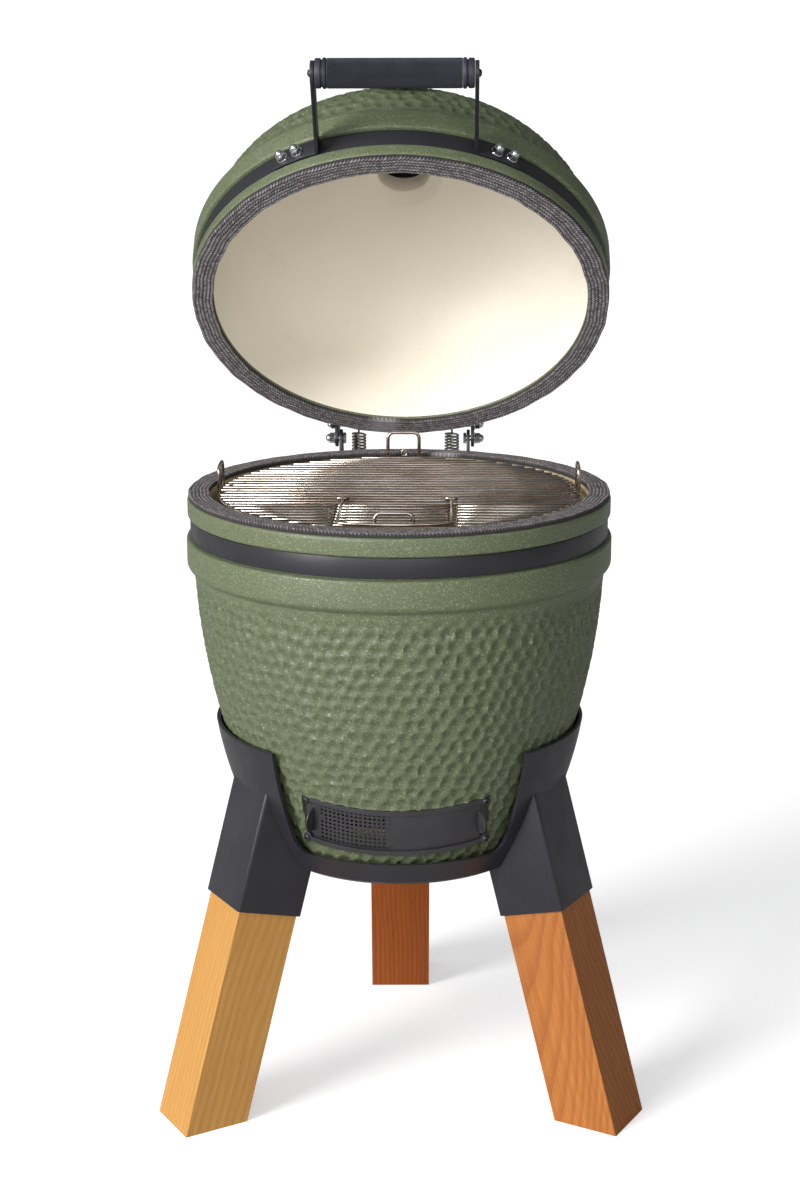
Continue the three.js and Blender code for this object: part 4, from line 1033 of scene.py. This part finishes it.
def springs():
    """Close coils with a hook over each bar, made in one fixed shape between the bars as they stand with the lid open.
    """
    wire, coil, turns = 1.1, 6.9, 17
    low, high = LOWER_ROD[1], ANCHOR_OPEN[1]
    start, end = low + 9.5, high - 9.5
    hook = 3 + wire + 0.2
    for name, x in (("left", -SPRING_X), ("right", SPRING_X)):
        t = np.linspace(0, 1, turns * 20 + 1)
        a = TAU * turns * t - math.pi / 2
        body = np.stack([coil * np.cos(a), coil * np.sin(a), start + (end - start) * t], -1)
        top = [(0, hook * math.sin(b), high - hook * math.cos(b)) for b in np.radians(np.linspace(70, 300, 14))]
        top = [(0, -coil * 0.9, end + 1.2), (0, -hook * 0.9, end + 4)] + [(0, -p[1], p[2]) for p in top]
        bottom = [(p[0], p[1], low + high - p[2]) for p in top]
        line = np.array(bottom[::-1] + list(body) + top)
        line[:, 1] += LOWER_ROD[0] + (ANCHOR_OPEN[0] - LOWER_ROD[0]) * (line[:, 2] - low) / (high - low)
        line[:, 0] += x
        ob = build(f"coil_spring_{name}", tube(line, wire, 8), GRILL, SPRING_STEEL, None, sharp=60)
        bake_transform(ob)
        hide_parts(f"hinge_spring_{name}")


hinge()


# ------------------------------------------------------------------ cooking grate
FLAP_HALF, FLAP_HINGE_Y, FLAP_FRONT_Y = 50, -58, -163
FLAP_EDGE_X = FLAP_HALF + 8
FLAP_FRAME_Z = GRATE_Z + 2 * WIRE + GAP


BAR = 1.5


def grate():
    z = GRATE_Z
    middle = GRATE_RADIUS - 1.3 * WIRE

    def reach(y):
        return math.sqrt(middle ** 2 - y * y)

    rows = [i * WIRE_PITCH for i in range(-13, 15)]
    back = [y for y in rows if y > FLAP_HINGE_Y - WIRE]
    front = [y for y in rows if y <= FLAP_HINGE_Y - WIRE and reach(y) > FLAP_EDGE_X + 6]
    wires = []
    for y in back:
        wires.append(tube([(-reach(y), y, z), (reach(y), y, z)], BAR, 10))
    for side in (-1, 1):
        for y in front:
            wires.append(tube([(side * (FLAP_EDGE_X - 3), y, z), (side * reach(y), y, z)], BAR, 10))
    rim_radius = GRATE_RADIUS - WIRE
    low = z - 2 * BAR
    ring = [(rim_radius * math.sin(a), -rim_radius * math.cos(a), low) for a in np.linspace(0, TAU, 121)[:-1]]
    wires.append(tube(ring, WIRE, 10, closed=True))
    for x in (-92, 92):
        far = math.sqrt(rim_radius ** 2 - x * x)
        wires.append(tube([(x, -far, low), (x, far, low)], BAR, 10))
    for x in (-FLAP_EDGE_X, FLAP_EDGE_X):
        wires.append(tube([(x, -math.sqrt(rim_radius ** 2 - x * x), low), (x, FLAP_HINGE_Y + 2, low)], BAR, 10))
    build("cooking_wires", merge(*wires), GRILL, GRATE_STEEL, "base", cad=["cooking_grate"], sharp=60)
    flap(rows)
    loops()


def flap(rows):
    """The hinged part of the grate. Its own wires end close to the grate's; two rods with T heads hold them."""
    z, side = FLAP_FRAME_Z, FLAP_HALF
    wires = []
    low = GRATE_Z + 0.2
    for y in [y for y in rows if FLAP_FRONT_Y + 4 <= y <= FLAP_HINGE_Y - 8]:
        wires.append(tube([(-side - 4.2, y, low), (side + 4.2, y, low)], BAR, 10))
    hinge_y = FLAP_HINGE_Y - 6
    for s in (-1, 1):
        wires.append(tube([(s * side, FLAP_FRONT_Y + 3, z), (s * side, hinge_y + 3, z)], BAR, 10))
        wires.append(tube([(s * side - 6, hinge_y + 3.5, z + 0.6), (s * side + 6, hinge_y + 3.5, z + 0.6)], WIRE, 10))
    half = side + WIRE
    front = [(x, min(FLAP_FRONT_Y + 6, -math.sqrt((abs(FLAP_FRONT_Y) + 7.5) ** 2 - x * x)), z)
             for x in np.linspace(-half, half, 15)]
    wires.append(tube(front, BAR, 10))
    build("flap_wires", merge(*wires), GRILL, GRATE_STEEL, "grate_flap_leaf", cad=["grate_flap"],
          sharp=60)


def loops():
    top = GRATE_Z + WIRE + GAP
    side = GRATE_RADIUS - WIRE - 1

    def staple(width, height, foot):
        half = width / 2 - WIRE
        line = path([(-half, 0, foot), (-half, 0, height - WIRE), (half, 0, height - WIRE), (half, 0, foot)], 6, 6)
        return tube(line, 1.75, 12)

    spots = {
        "rear": (shift(0, side, top), 36, "base", "grate_loop_rear"),
        "left": (shift(-side, 0, top) @ turn(math.pi / 2), 36, "base", "grate_loop_left"),
        "right": (shift(side, 0, top) @ turn(math.pi / 2), 36, "base", "grate_loop_right"),
        "flap": (shift(0, FLAP_FRONT_Y - 2 * WIRE - GAP, top), 38, "grate_flap_leaf", "flap_loop"),
    }
    for name, (where, width, body, node) in spots.items():
        height = FLAP_LOOP_HEIGHT if name == "flap" else 25
        foot = 0.2 if name == "flap" else -2.5
        build(f"lifting_loop_{name}", moved(staple(width, height, foot), where), GRILL, GRATE_STEEL, body, cad=[node],
              sharp=60)
    eye = [(5.0 * math.cos(a) * 0.55, 0, 4.2 + 3.2 * math.sin(a)) for a in np.linspace(0, TAU, 17)[:-1]]
    build("rear_eyelet", moved(tube(eye, 1.1, 8, closed=True), shift(1, side - 6, top - 1)), GRILL, GRATE_STEEL, "base",
          sharp=60)


grate()


# ------------------------------------------------------------------ fire parts
def fire_radius(z):
    return inner_radius(z) - 5


def fire_parts():
    fire_top, floor, ledge = -100, BODY_FLOOR + WALL + GAP, -250
    outside = [(fire_radius(z), z) for z in np.linspace(floor, fire_top, 10)]
    inner_top = fire_radius(fire_top) - 15
    corners = outside + [(inner_top, fire_top), (fire_radius(-180) - 15, -180), (fire_radius(ledge) - 15, ledge),
                         (fire_radius(ledge) - 26, ledge), (fire_radius(-308) - 20, -308), (40, -308), (40, floor)]
    radii = [3] + [0] * 8 + [3, 3, 6, 2, 3, 6, 3, 3]
    bowl = build("fire_bowl_clay", lathe(rounded(corners, radii), 160), GRILL, CLAY, None, sharp=50)
    mouth = moved(block(110, 120, 46, 6), shift(-20, -120, -284))
    cut_by(bowl, [build("cutter", mouth, GRILL, CLAY, None)])
    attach(bowl, "base")
    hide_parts("fire_bowl")
    outer, top = fire_radius(fire_top), GRATE_Z - 7.4
    collar = rounded([(150, fire_top + GAP), (outer, fire_top + GAP), (outer, top), (150, top)], [2, 2, 4, 4])
    build("fire_ring_clay", lathe(collar, 160), GRILL, CLAY, "base", cad=["fire_ring"], sharp=50)
    charcoal(ledge)


def charcoal(ledge):
    """Cast iron grate: a round plate with long rounded slots either side of a middle bar."""
    radius = fire_radius(ledge) - 17
    holes = []
    for x in (-66, -44, -22, 0, 22, 44, 66):
        half = math.sqrt((radius - 14) ** 2 - x * x)
        for side in (-1, 1):
            near, far = side * 5, side * half
            low, high = min(near, far), max(near, far)
            holes.append(rounded([(x - 4.5, low), (x + 4.5, low), (x + 4.5, high), (x - 4.5, high)], 4.2, 6))
    plate = moved(sheet_cut(circle(radius, sides=120), holes, 8 - GAP, 1.0), shift(0, 0, ledge + GAP))
    build("charcoal_plate", plate, GRILL, IRON, "base", cad=["charcoal_grate"])


fire_parts()


# ------------------------------------------------------------------ draft vent
RAIL = 3
SLIDE_HALF = VENT_HALF_HEIGHT - RAIL - GAP


def curved(inner, outer, start, end, low, high, steps=32, bevel=0.3):
    """A bent sheet about the vent's axis with eased edges; angles in radians from -Y towards +X."""
    section = rounded([(inner, low), (outer, low), (outer, high), (inner, high)], bevel, 2)
    return lathe(section, steps + 1, start=start, end=end)


def vent_frame():
    r = VENT_RADIUS
    top = VENT_HALF_HEIGHT
    edge = VENT_EDGE
    window = (math.radians(-28.5), math.radians(-1.5))
    back = (r - 2.5, r - 1)
    parts = [curved(*back, -edge, window[0], -top, top, 6), curved(*back, window[1], edge, -top, top, 26),
             curved(*back, window[0], window[1], 19, top, 20), curved(*back, window[0], window[1], -top, -19, 20)]
    for sign in (-1, 1):
        low, high = sorted((sign * top, sign * (top - RAIL)))
        parts.append(curved(r - 2, r + 3.4, -edge, edge, low, high, 40, 0.7))
        low, high = sorted((sign * (top - RAIL - 2), sign * (top - RAIL + 1)))
        parts.append(curved(r + 2.4, r + 3.4, -edge, edge, low, high, 40, 0.35))
    for side in (-1, 1):
        for sign in (-1, 1):
            seat = shift(0, -r - 3.4, sign * (top - 3.6)) @ turn(math.pi / 2, "X")
            boss = turned([(0, -1.8), (4.6, -1.8), (4.6, 0), (4.2, 0.25), (0, 0.25)], 24)
            parts.append(moved(boss, turn(side * math.radians(33)) @ seat))
    build("draft_frame", merge(*parts), VENT, VENT_COAT, "base", cad=["vent_frame"])
    for i, (side, up) in enumerate([(-1, 1), (1, 1), (-1, -1), (1, -1)]):
        head = socket_screw()
        where = turn(side * math.radians(33)) @ shift(0, -r - 3.4 - GAP, up * (top - 3.6)) @ turn(math.pi / 2, "X")
        build(f"draft_screw_{i + 1}", moved(head, where), VENT, COAT, "base", cad=[f"vent_screw_{i + 1}"])


def socket_screw():
    """A button head with a hexagonal socket, standing on z = 0."""
    rim = [(3.4, 0.0), (3.4, 0.6), (3.0, 1.6), (2.2, 2.2), (1.6, 2.3)]
    rings = [np.column_stack([circle(r, sides=24), np.full(24, z)]) for r, z in rim]
    for z in (2.3, 1.1):
        rings.append(np.column_stack([circle(1.5, sides=24), np.full(24, z)]))
    rings[-1][:, :2] *= 0.92
    rings.insert(0, np.column_stack([circle(1.0, sides=24), np.zeros(24)]))
    return loft(rings)


def ear(angle, inner, thickness):
    """A half-oval pull that stands out from a slide's end."""
    outline = [(0, -12.5), (1, -12.5)] + [(1 + 12 * math.cos(a), 12 * math.sin(a))
                                      for a in np.linspace(-1.45, 1.45, 19)] + [(1, 12.5), (0, 12.5)]
    flat = sheet_cut(outline, [], thickness, 0.25)
    upright_ear = moved(flat, Matrix(((0, 0, 1, 0), (-1, 0, 0, 0), (0, 1, 0, 0), (0, 0, 0, 1))))
    return moved(upright_ear, turn(angle) @ shift(-thickness / 2, -inner, 0))


def vent_door():
    r = VENT_RADIUS
    panel = curved(r + 0.9, r + 2, math.radians(-1.5), math.radians(31), -SLIDE_HALF, SLIDE_HALF, 40, 0.3)
    build("draft_door", merge(panel, ear(math.radians(30.6), r + 1.2, 1.4)), VENT, VENT_COAT, "vent_door_slide",
          cad=["vent_door"])


HOLE_SIDES, SCREEN_THICK = 16, 0.75


def vent_screen():
    """A sheet with 15 columns and 9 rows of round holes, bent round the vent's axis."""
    r, pitch, hole = VENT_RADIUS - 0.05, 4.3, 1.4
    columns, lines = 15, 9
    sheet_from, sheet_to = math.radians(-31.5) * r, 0.0
    left = -73.0
    xs = [sheet_from, (sheet_from + left) / 2] + [left + i * pitch for i in range(columns + 1)]
    xs += list(np.linspace(xs[-1], sheet_to, 2))[1:]
    zs = [-SLIDE_HALF] + [(-lines / 2 + i) * pitch for i in range(lines + 1)] + [SLIDE_HALF]
    bm = bmesh.new()
    turns = [(math.cos(a), math.sin(a)) for a in np.arange(HOLE_SIDES) * TAU / HOLE_SIDES]
    unit = [(c / max(abs(c), abs(t)), t / max(abs(c), abs(t))) for c, t in turns]

    def at(u, v):
        return bm.verts.new((r * math.sin(u / r), -r * math.cos(u / r), v))

    for i in range(len(xs) - 1):
        for j in range(len(zs) - 1):
            cx, cz = (xs[i] + xs[i + 1]) / 2, (zs[j] + zs[j + 1]) / 2
            wx, wz = (xs[i + 1] - xs[i]) / 2, (zs[j + 1] - zs[j]) / 2
            border = [at(cx + wx * u, cz + wz * v) for u, v in unit]
            if 2 <= i < 2 + columns and 1 <= j <= lines:
                inner = [at(cx + hole * c, cz + hole * t) for c, t in turns]
                for k in range(HOLE_SIDES):
                    bm.faces.new((border[k], border[(k + 1) % HOLE_SIDES], inner[(k + 1) % HOLE_SIDES], inner[k]))
            else:
                bm.faces.new(border)
    bmesh.ops.remove_doubles(bm, verts=bm.verts, dist=1e-3)
    bmesh.ops.recalc_face_normals(bm, faces=bm.faces)
    bmesh.ops.solidify(bm, geom=bm.faces[:], thickness=SCREEN_THICK)
    bm.verts.ensure_lookup_table()
    sheet = (np.array([v.co for v in bm.verts]), [[v.index for v in f.verts] for f in bm.faces])
    bm.free()
    rivet = moved(turned([(0, -1), (2.6, -1), (2.6, 0.1), (2.2, 0.25), (0, 0.3)], 20),
                  turn(math.radians(-26.8)) @ shift(0, -r - 0.4, 6) @ turn(math.pi / 2, "X"))
    shape = merge(sheet, rivet, ear(math.radians(-31), VENT_RADIUS - 0.4, 1.2))
    build("draft_screen", shape, VENT, VENT_COAT, "vent_screen_slide", cad=["vent_screen"],
          sharp=40)


vent_frame()
vent_door()
vent_screen()


# ------------------------------------------------------------------ stand
def cradle_radius(z):
    depth = CRADLE_TOP - z
    return 177.2 - 0.16 * depth - 0.00152 * depth * depth


SOCKET_START = (SOCKET_BOTTOM + RIM_HEIGHT) / math.cos(SPLAY)
NOTCH_ANGLE, NOTCH_FLOOR = math.radians(41.3), -326


def leg_place(azimuth):
    """From a leg's own directions, z up its length from the floor and x away from the axis, to the stand's."""
    return turn(math.radians(azimuth)) @ shift(FOOT_RADIUS, 0, -RIM_HEIGHT) @ turn(-SPLAY, "Y")


def cradle():
    heights = np.linspace(CRADLE_TOP, CRADLE_FLOOR + 6, 26)
    inner = [(cradle_radius(z) - CRADLE_SHEET, z) for z in heights]
    outer = [(cradle_radius(z), z) for z in heights]
    rim = [(cradle_radius(CRADLE_TOP) - 2.9, CRADLE_TOP + 0.9), (cradle_radius(CRADLE_TOP) - 1.1, CRADLE_TOP + 0.9)]
    floor = CRADLE_FLOOR + CRADLE_SHEET
    profile = [(50, floor), (116, floor)] + inner[::-1] + rim + outer + [(125.5, CRADLE_FLOOR + 1.2),
                                                                     (121, CRADLE_FLOOR), (50, CRADLE_FLOOR)]
    ob = build("cradle_steel", lathe(profile, 200), STAND, COAT, None)
    sockets = []
    for i, azimuth in enumerate(LEG_AZIMUTH.values()):
        half = SOCKET_SIDE / 2
        square = rounded([(-half, -half), (half, -half), (half, half), (-half, half)], 3.2, 5)
        shape = moved(sheet_cut(square, [], 135, 0.9), leg_place(azimuth) @ shift(0, 0, SOCKET_START))
        sockets.append(build(f"socket_{i}", shape, STAND, COAT, None))
    cut_by(ob, sockets, "UNION")
    hollow = [(1, CRADLE_TOP + 40), (cradle_radius(CRADLE_TOP) - CRADLE_SHEET + 6, CRADLE_TOP + 40),
              (cradle_radius(CRADLE_TOP) - CRADLE_SHEET + 0.4, CRADLE_TOP + 3)]
    hollow += [(r - 0.02, z) for r, z in inner] + [(116, floor + 0.02), (1, floor + 0.02)]
    cutters = [build("hollow", lathe(hollow, 200), STAND, COAT, None)]
    for i, azimuth in enumerate(LEG_AZIMUTH.values()):
        half = LEG_SIDE / 2 + GAP
        bore = [(-half, -half), (half, -half), (half, half), (-half, half)]
        shape = moved(loft([[(x, y, z) for x, y in bore] for z in (-20, 180)]),
                      leg_place(azimuth) @ shift(0, 0, SOCKET_START))
        cutters.append(build(f"bore_{i}", shape, STAND, COAT, None))
    notch = notch_block()
    cutters.append(build("notch", notch, STAND, COAT, None))
    cut_by(ob, cutters)
    ob.data.set_sharp_from_angle(angle=math.radians(30))
    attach(ob, "base")
    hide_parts("cradle")


def notch_block():
    """The cut-away in front of the vent: straight sides and rounded lower corners."""
    outline = [(-NOTCH_ANGLE, CRADLE_TOP + 10), (-NOTCH_ANGLE, NOTCH_FLOOR), (NOTCH_ANGLE, NOTCH_FLOOR),
               (NOTCH_ANGLE, CRADLE_TOP + 10)]
    flat = rounded([(a * 160, z) for a, z in outline], [0, 14, 14, 0], 8)
    flat = np.array(spread([tuple(p) for p in flat] + [tuple(flat[0])], 9)[:-1])
    rings = []
    for radius in (60, 260):
        angle = flat[:, 0] / 160
        rings.append(np.column_stack([radius * np.sin(angle), -radius * np.cos(angle), flat[:, 1]]))
    return loft(rings)


def legs():
    for name, ob in ((n, frame["nodes"][f"leg_{n}"]) for n in LEG_AZIMUTH):
        ob.data.materials.clear()
        ob.data.materials.append(WOODS[name])
        ease = ob.modifiers.new("eased edges", "BEVEL")
        ease.width, ease.segments, ease.limit_method, ease.angle_limit = 1.4 * MM, 3, "ANGLE", math.radians(40)
        screw = frame["nodes"][f"leg_screw_{name}"]
        screw.data.materials.clear()
        screw.data.materials.append(CHROME)
        ease = screw.modifiers.new("eased edges", "BEVEL")
        ease.width, ease.segments, ease.limit_method, ease.angle_limit = 0.5 * MM, 2, "ANGLE", math.radians(40)
    for i in (1, 2, 3):
        pad = frame["nodes"][f"cradle_pad_{i}"]
        pad.data.materials.clear()
        pad.data.materials.append(RUBBER)


cradle()
legs()


# ------------------------------------------------------------------ thermometer and top vent
def thermometer():
    place = LID @ dome_front()
    case = turned([(0, 3), (22, 3), (26.2, 3.4), (27, 4.4), (27, 13.8), (26.4, 14.9), (25.2, 15), (24.4, 14.4),
                   (24.4, 8), (0, 8)], 96)
    stem = turned([(0, -41), (2.4, -40), (3, -38.5), (3, 4), (0, 4)], 24)
    build("thermometer_bezel", merge(case, stem), place, CHROME, "lid", cad=["thermometer_case"])
    face = turned([(0, 8.05), (24.2, 8.05), (24.2, 8.6), (0, 8.6)], 96)
    build("thermometer_dial", face, place, DIAL, "lid")
    marks = []
    for i in range(53):
        long = i % 4 == 0
        bar = block(0.5 if not long else 0.8, 1.8 if not long else 3.4, 0.16, 0.05)
        angle = math.radians(130 - i * 5)
        marks.append(moved(bar, turn(angle) @ shift(0, 21.6 - (0.9 if long else 0), 8.68)))
    build("thermometer_marks", merge(*marks), place, INK, "lid")
    numbers(place)
    hub = turned([(0, 9), (2.4, 9), (2.6, 9.4), (2.6, 10.6), (2.2, 11), (0, 11)], 28)
    hand = sheet_cut([(-1.1, -6), (1.1, -6), (0.35, 19), (-0.35, 19)], [], 0.7, 0.1)
    hand = moved(hand, turn(math.radians(130)) @ shift(0, 0, 9.65))
    build("thermometer_hand", merge(hub, hand), place, RED, "thermometer_needle_hand", cad=["thermometer_needle"])
    lens = turned([(0, 12.2), (24.1, 12.2), (24.1, 13.6), (18, 14.2), (9, 14.5), (0, 14.6)], 96)
    build("thermometer_glass", lens, place, GLASS, "lid", cad=["thermometer_lens"], sharp=60)


def numbers(place):
    """Generic temperatures round the dial."""
    shapes = []
    for i, value in enumerate((0, 50, 100, 150, 200, 250, 300, 350)):
        curve = bpy.data.curves.new("number", "FONT")
        curve.body, curve.size, curve.align_x, curve.align_y, curve.extrude = str(value), 3.6, "CENTER", "CENTER", 0.05
        ob = bpy.data.objects.new("number", curve)
        scene.collection.objects.link(ob)
        mesh = bpy.data.meshes.new_from_object(ob.evaluated_get(bpy.context.evaluated_depsgraph_get()))
        bpy.data.objects.remove(ob)
        angle = math.radians(130 - i * 260 / 7)
        points = np.array([v.co for v in mesh.vertices])
        x, y = -15.4 * math.sin(angle), 15.4 * math.cos(angle)
        shapes.append(moved((points, [list(p.vertices) for p in mesh.polygons]), shift(x, y, 8.66)))
    build("thermometer_numbers", merge(*shapes), place, INK, "lid")


COLLAR_TOP = NECK_TOP + GAP + 9
PIN_X = 47
PETALS, PETAL_SPAN, PETAL_CLOSED = 5, math.radians(31), math.radians(36)


def petals(start):
    """Outlines of the air openings: parts of a ring with rounded corners."""
    out = []
    for i in range(PETALS):
        a = start + i * TAU / PETALS - math.pi / 2
        sweep = np.linspace(a, a + PETAL_SPAN, 9)
        line = [(34 * math.cos(t), 34 * math.sin(t)) for t in sweep]
        line += [(14 * math.cos(t), 14 * math.sin(t)) for t in sweep[::-1]]
        radii = [2.4] + [0] * 7 + [2.4, 1.6] + [0] * 7 + [1.6]
        out.append(rounded(line, radii, 4))
    return out


def keyhole(radius, x, lug):
    """Outline of a disc with a round lug at +X."""
    reach = math.acos((radius ** 2 + x ** 2 - lug ** 2) / (2 * radius * x))
    lug_reach = math.acos((lug ** 2 + x ** 2 - radius ** 2) / (2 * lug * x))
    body = [(radius * math.cos(a), radius * math.sin(a)) for a in np.linspace(reach, TAU - reach, 72)]
    tip = [(x + lug * math.cos(a), lug * math.sin(a))
           for a in np.linspace(lug_reach - math.pi, math.pi - lug_reach, 16)]
    return body + tip[1:-1]


def top_vent():
    low = NECK_TOP + GAP
    ring = lathe(rounded([(27, low), (44, low), (42.4, COLLAR_TOP), (27, COLLAR_TOP)], [0.8, 1.4, 1.6, 1.2]), 96)
    lug = moved(turned([(0, 0), (7.6, 0), (8, 0.5), (8, 8.4), (7.4, 9), (0, 9)], 36), shift(PIN_X, 0, low))
    build("chimney_ring", merge(ring, lug), LID, IRON, "lid", cad=["chimney_collar"])
    low = COLLAR_TOP + GAP
    plate = sheet_cut(keyhole(43, PIN_X, 8), [*petals(0), circle(3.3, PIN_X, 0, 24)], 5, 1.0)
    build("damper_slide", moved(plate, shift(0, 0, low)), LID, IRON, "damper_plate_swing", cad=["damper_plate"])
    disc_low = low + 5 + GAP
    disc = moved(sheet_cut(circle(38, sides=96), petals(PETAL_CLOSED), 3.4, 0.8), shift(0, 0, disc_low))
    hub = turned([(0, 0), (12, 0), (11.4, 3.4), (10, 4.6), (8.6, 7), (8.2, 12), (7.6, 14.6), (5.4, 16), (0, 16.2)], 48)
    tab = moved(block(6, 9.6, 8.6, 1.6), shift(0, -36, disc_low + 4.6))
    build("damper_daisy", merge(disc, moved(hub, shift(0, 0, disc_low)), tab), LID, IRON, "damper_disc_turn",
          cad=["damper_disc"])
    shank = turned([(0, 0), (3, 0), (3, 6), (0, 6)], 24)
    head = moved(turned([(0, 0), (6, 0), (6, 1.6), (5, 3.2), (2.6, 4), (0, 4.1)], 36), shift(0, 0, 5 + GAP))
    build("damper_rivet", moved(merge(shank, head), shift(PIN_X, 0, low)), LID, CHROME, "lid", cad=["damper_pin"])


thermometer()
top_vent()


# ------------------------------------------------------------------ floor, light and camera
def stage():
    floor = bpy.data.meshes.new("studio_floor")
    reach = 60
    corners = [(-reach, -reach, 0), (reach, -reach, 0), (reach, reach, 0), (-reach, reach, 0)]
    floor.from_pydata(corners, [], [(0, 1, 2, 3)])
    look = Look("studio_floor", Roughness=0.85)
    seen = look.node("ShaderNodeLightPath").outputs["Is Camera Ray"]
    look.colour(look.mix(seen, (0.56, 0.56, 0.56), look.ramp(look.noise(1.5, 2, 0.5), (0.3, 0.90), (0.7, 0.92))))
    look.shader.inputs["Emission Color"].default_value = (1, 1, 1, 1)
    look.tree.links.new(look.math("MULTIPLY", seen, 0.5), look.shader.inputs["Emission Strength"])
    floor.materials.append(look.material)
    ob = bpy.data.objects.new("studio_floor", floor)
    scene.collection.objects.link(ob)


def away(azimuth, elevation):
    """The way towards a light: azimuth 0 is from -Y and 90 from +X, in degrees."""
    a, e = math.radians(azimuth), math.radians(elevation)
    return Vector((math.sin(a) * math.cos(e), -math.cos(a) * math.cos(e), math.sin(e)))


def sun(name, azimuth, elevation, strength, spread_angle, colour=(1, 1, 1)):
    """A soft far light."""
    light = bpy.data.lights.new(name, "SUN")
    light.energy, light.angle, light.color = strength, math.radians(spread_angle), colour
    ob = bpy.data.objects.new(name, light)
    ob.rotation_mode = "QUATERNION"
    ob.rotation_quaternion = away(azimuth, elevation).to_track_quat("Z", "Y")
    scene.collection.objects.link(ob)


def studio():
    """White where the camera sees it. As a light it is bright in front and dim behind and above."""
    world = bpy.data.worlds.new("studio")
    world.use_nodes = True
    nodes, links = world.node_tree.nodes, world.node_tree.links
    nodes.clear()
    seen, lit = nodes.new("ShaderNodeBackground"), nodes.new("ShaderNodeBackground")
    seen.inputs["Color"].default_value = (1, 1, 1, 1)
    seen.inputs["Strength"].default_value = 1.1
    lit.inputs["Color"].default_value = (0.96, 0.98, 1.0, 1)
    spot, dot, level = (nodes.new(f"ShaderNode{n}") for n in ("TexCoord", "VectorMath", "MapRange"))
    dot.operation = "DOT_PRODUCT"
    dot.inputs[1].default_value = away(WORLD_AZIMUTH, 12)
    links.new(spot.outputs["Generated"], dot.inputs[0])
    links.new(dot.outputs["Value"], level.inputs["Value"])
    for key, value in zip(("From Min", "From Max", "To Min", "To Max"), (-0.1, 0.9, WORLD_DIM, WORLD_BRIGHT)):
        level.inputs[key].default_value = value
    links.new(level.outputs[0], lit.inputs["Strength"])
    ray, mix, out = (nodes.new(f"ShaderNode{n}") for n in ("LightPath", "MixShader", "OutputWorld"))
    links.new(ray.outputs["Is Camera Ray"], mix.inputs[0])
    links.new(lit.outputs[0], mix.inputs[1])
    links.new(seen.outputs[0], mix.inputs[2])
    links.new(mix.outputs[0], out.inputs["Surface"])
    scene.world = world
    sun("key", -46, 24, 2.65, 24, (1.0, 0.99, 0.975))
    sun("low", -44, 5, 1.2, 22, (1.0, 0.99, 0.975))
    sun("front", 2, 8, 0.95, 40)


WORLD_AZIMUTH, WORLD_DIM, WORLD_BRIGHT = -42, 0.13, 0.60
CAMERA_DISTANCE, CAMERA_HEIGHT, CAMERA_PITCH = 2023.8, 414.5, 14.548
CAMERA_ROLL = -0.17
LENS_MM, SENSOR_MM = 65.34, 36.0


def camera():
    data = bpy.data.cameras.new("camera")
    data.sensor_width, data.lens = SENSOR_MM, LENS_MM
    data.clip_start, data.clip_end = 0.05, 200
    ob = bpy.data.objects.new("camera", data)
    back = (CAMERA_DISTANCE * math.sin(STAND_TURN) + 0.6, -CAMERA_DISTANCE * math.cos(STAND_TURN), CAMERA_HEIGHT)
    ob.location = GRILL @ Vector([c * MM for c in back])
    ob.rotation_mode = "QUATERNION"
    ob.rotation_quaternion = (turn(STAND_TURN) @ turn(math.radians(90 - CAMERA_PITCH), "X")
                              @ turn(math.radians(CAMERA_ROLL))).to_quaternion()
    scene.collection.objects.link(ob)
    scene.camera = ob


stage()
studio()
camera()
scene.view_settings.view_transform = "Standard"
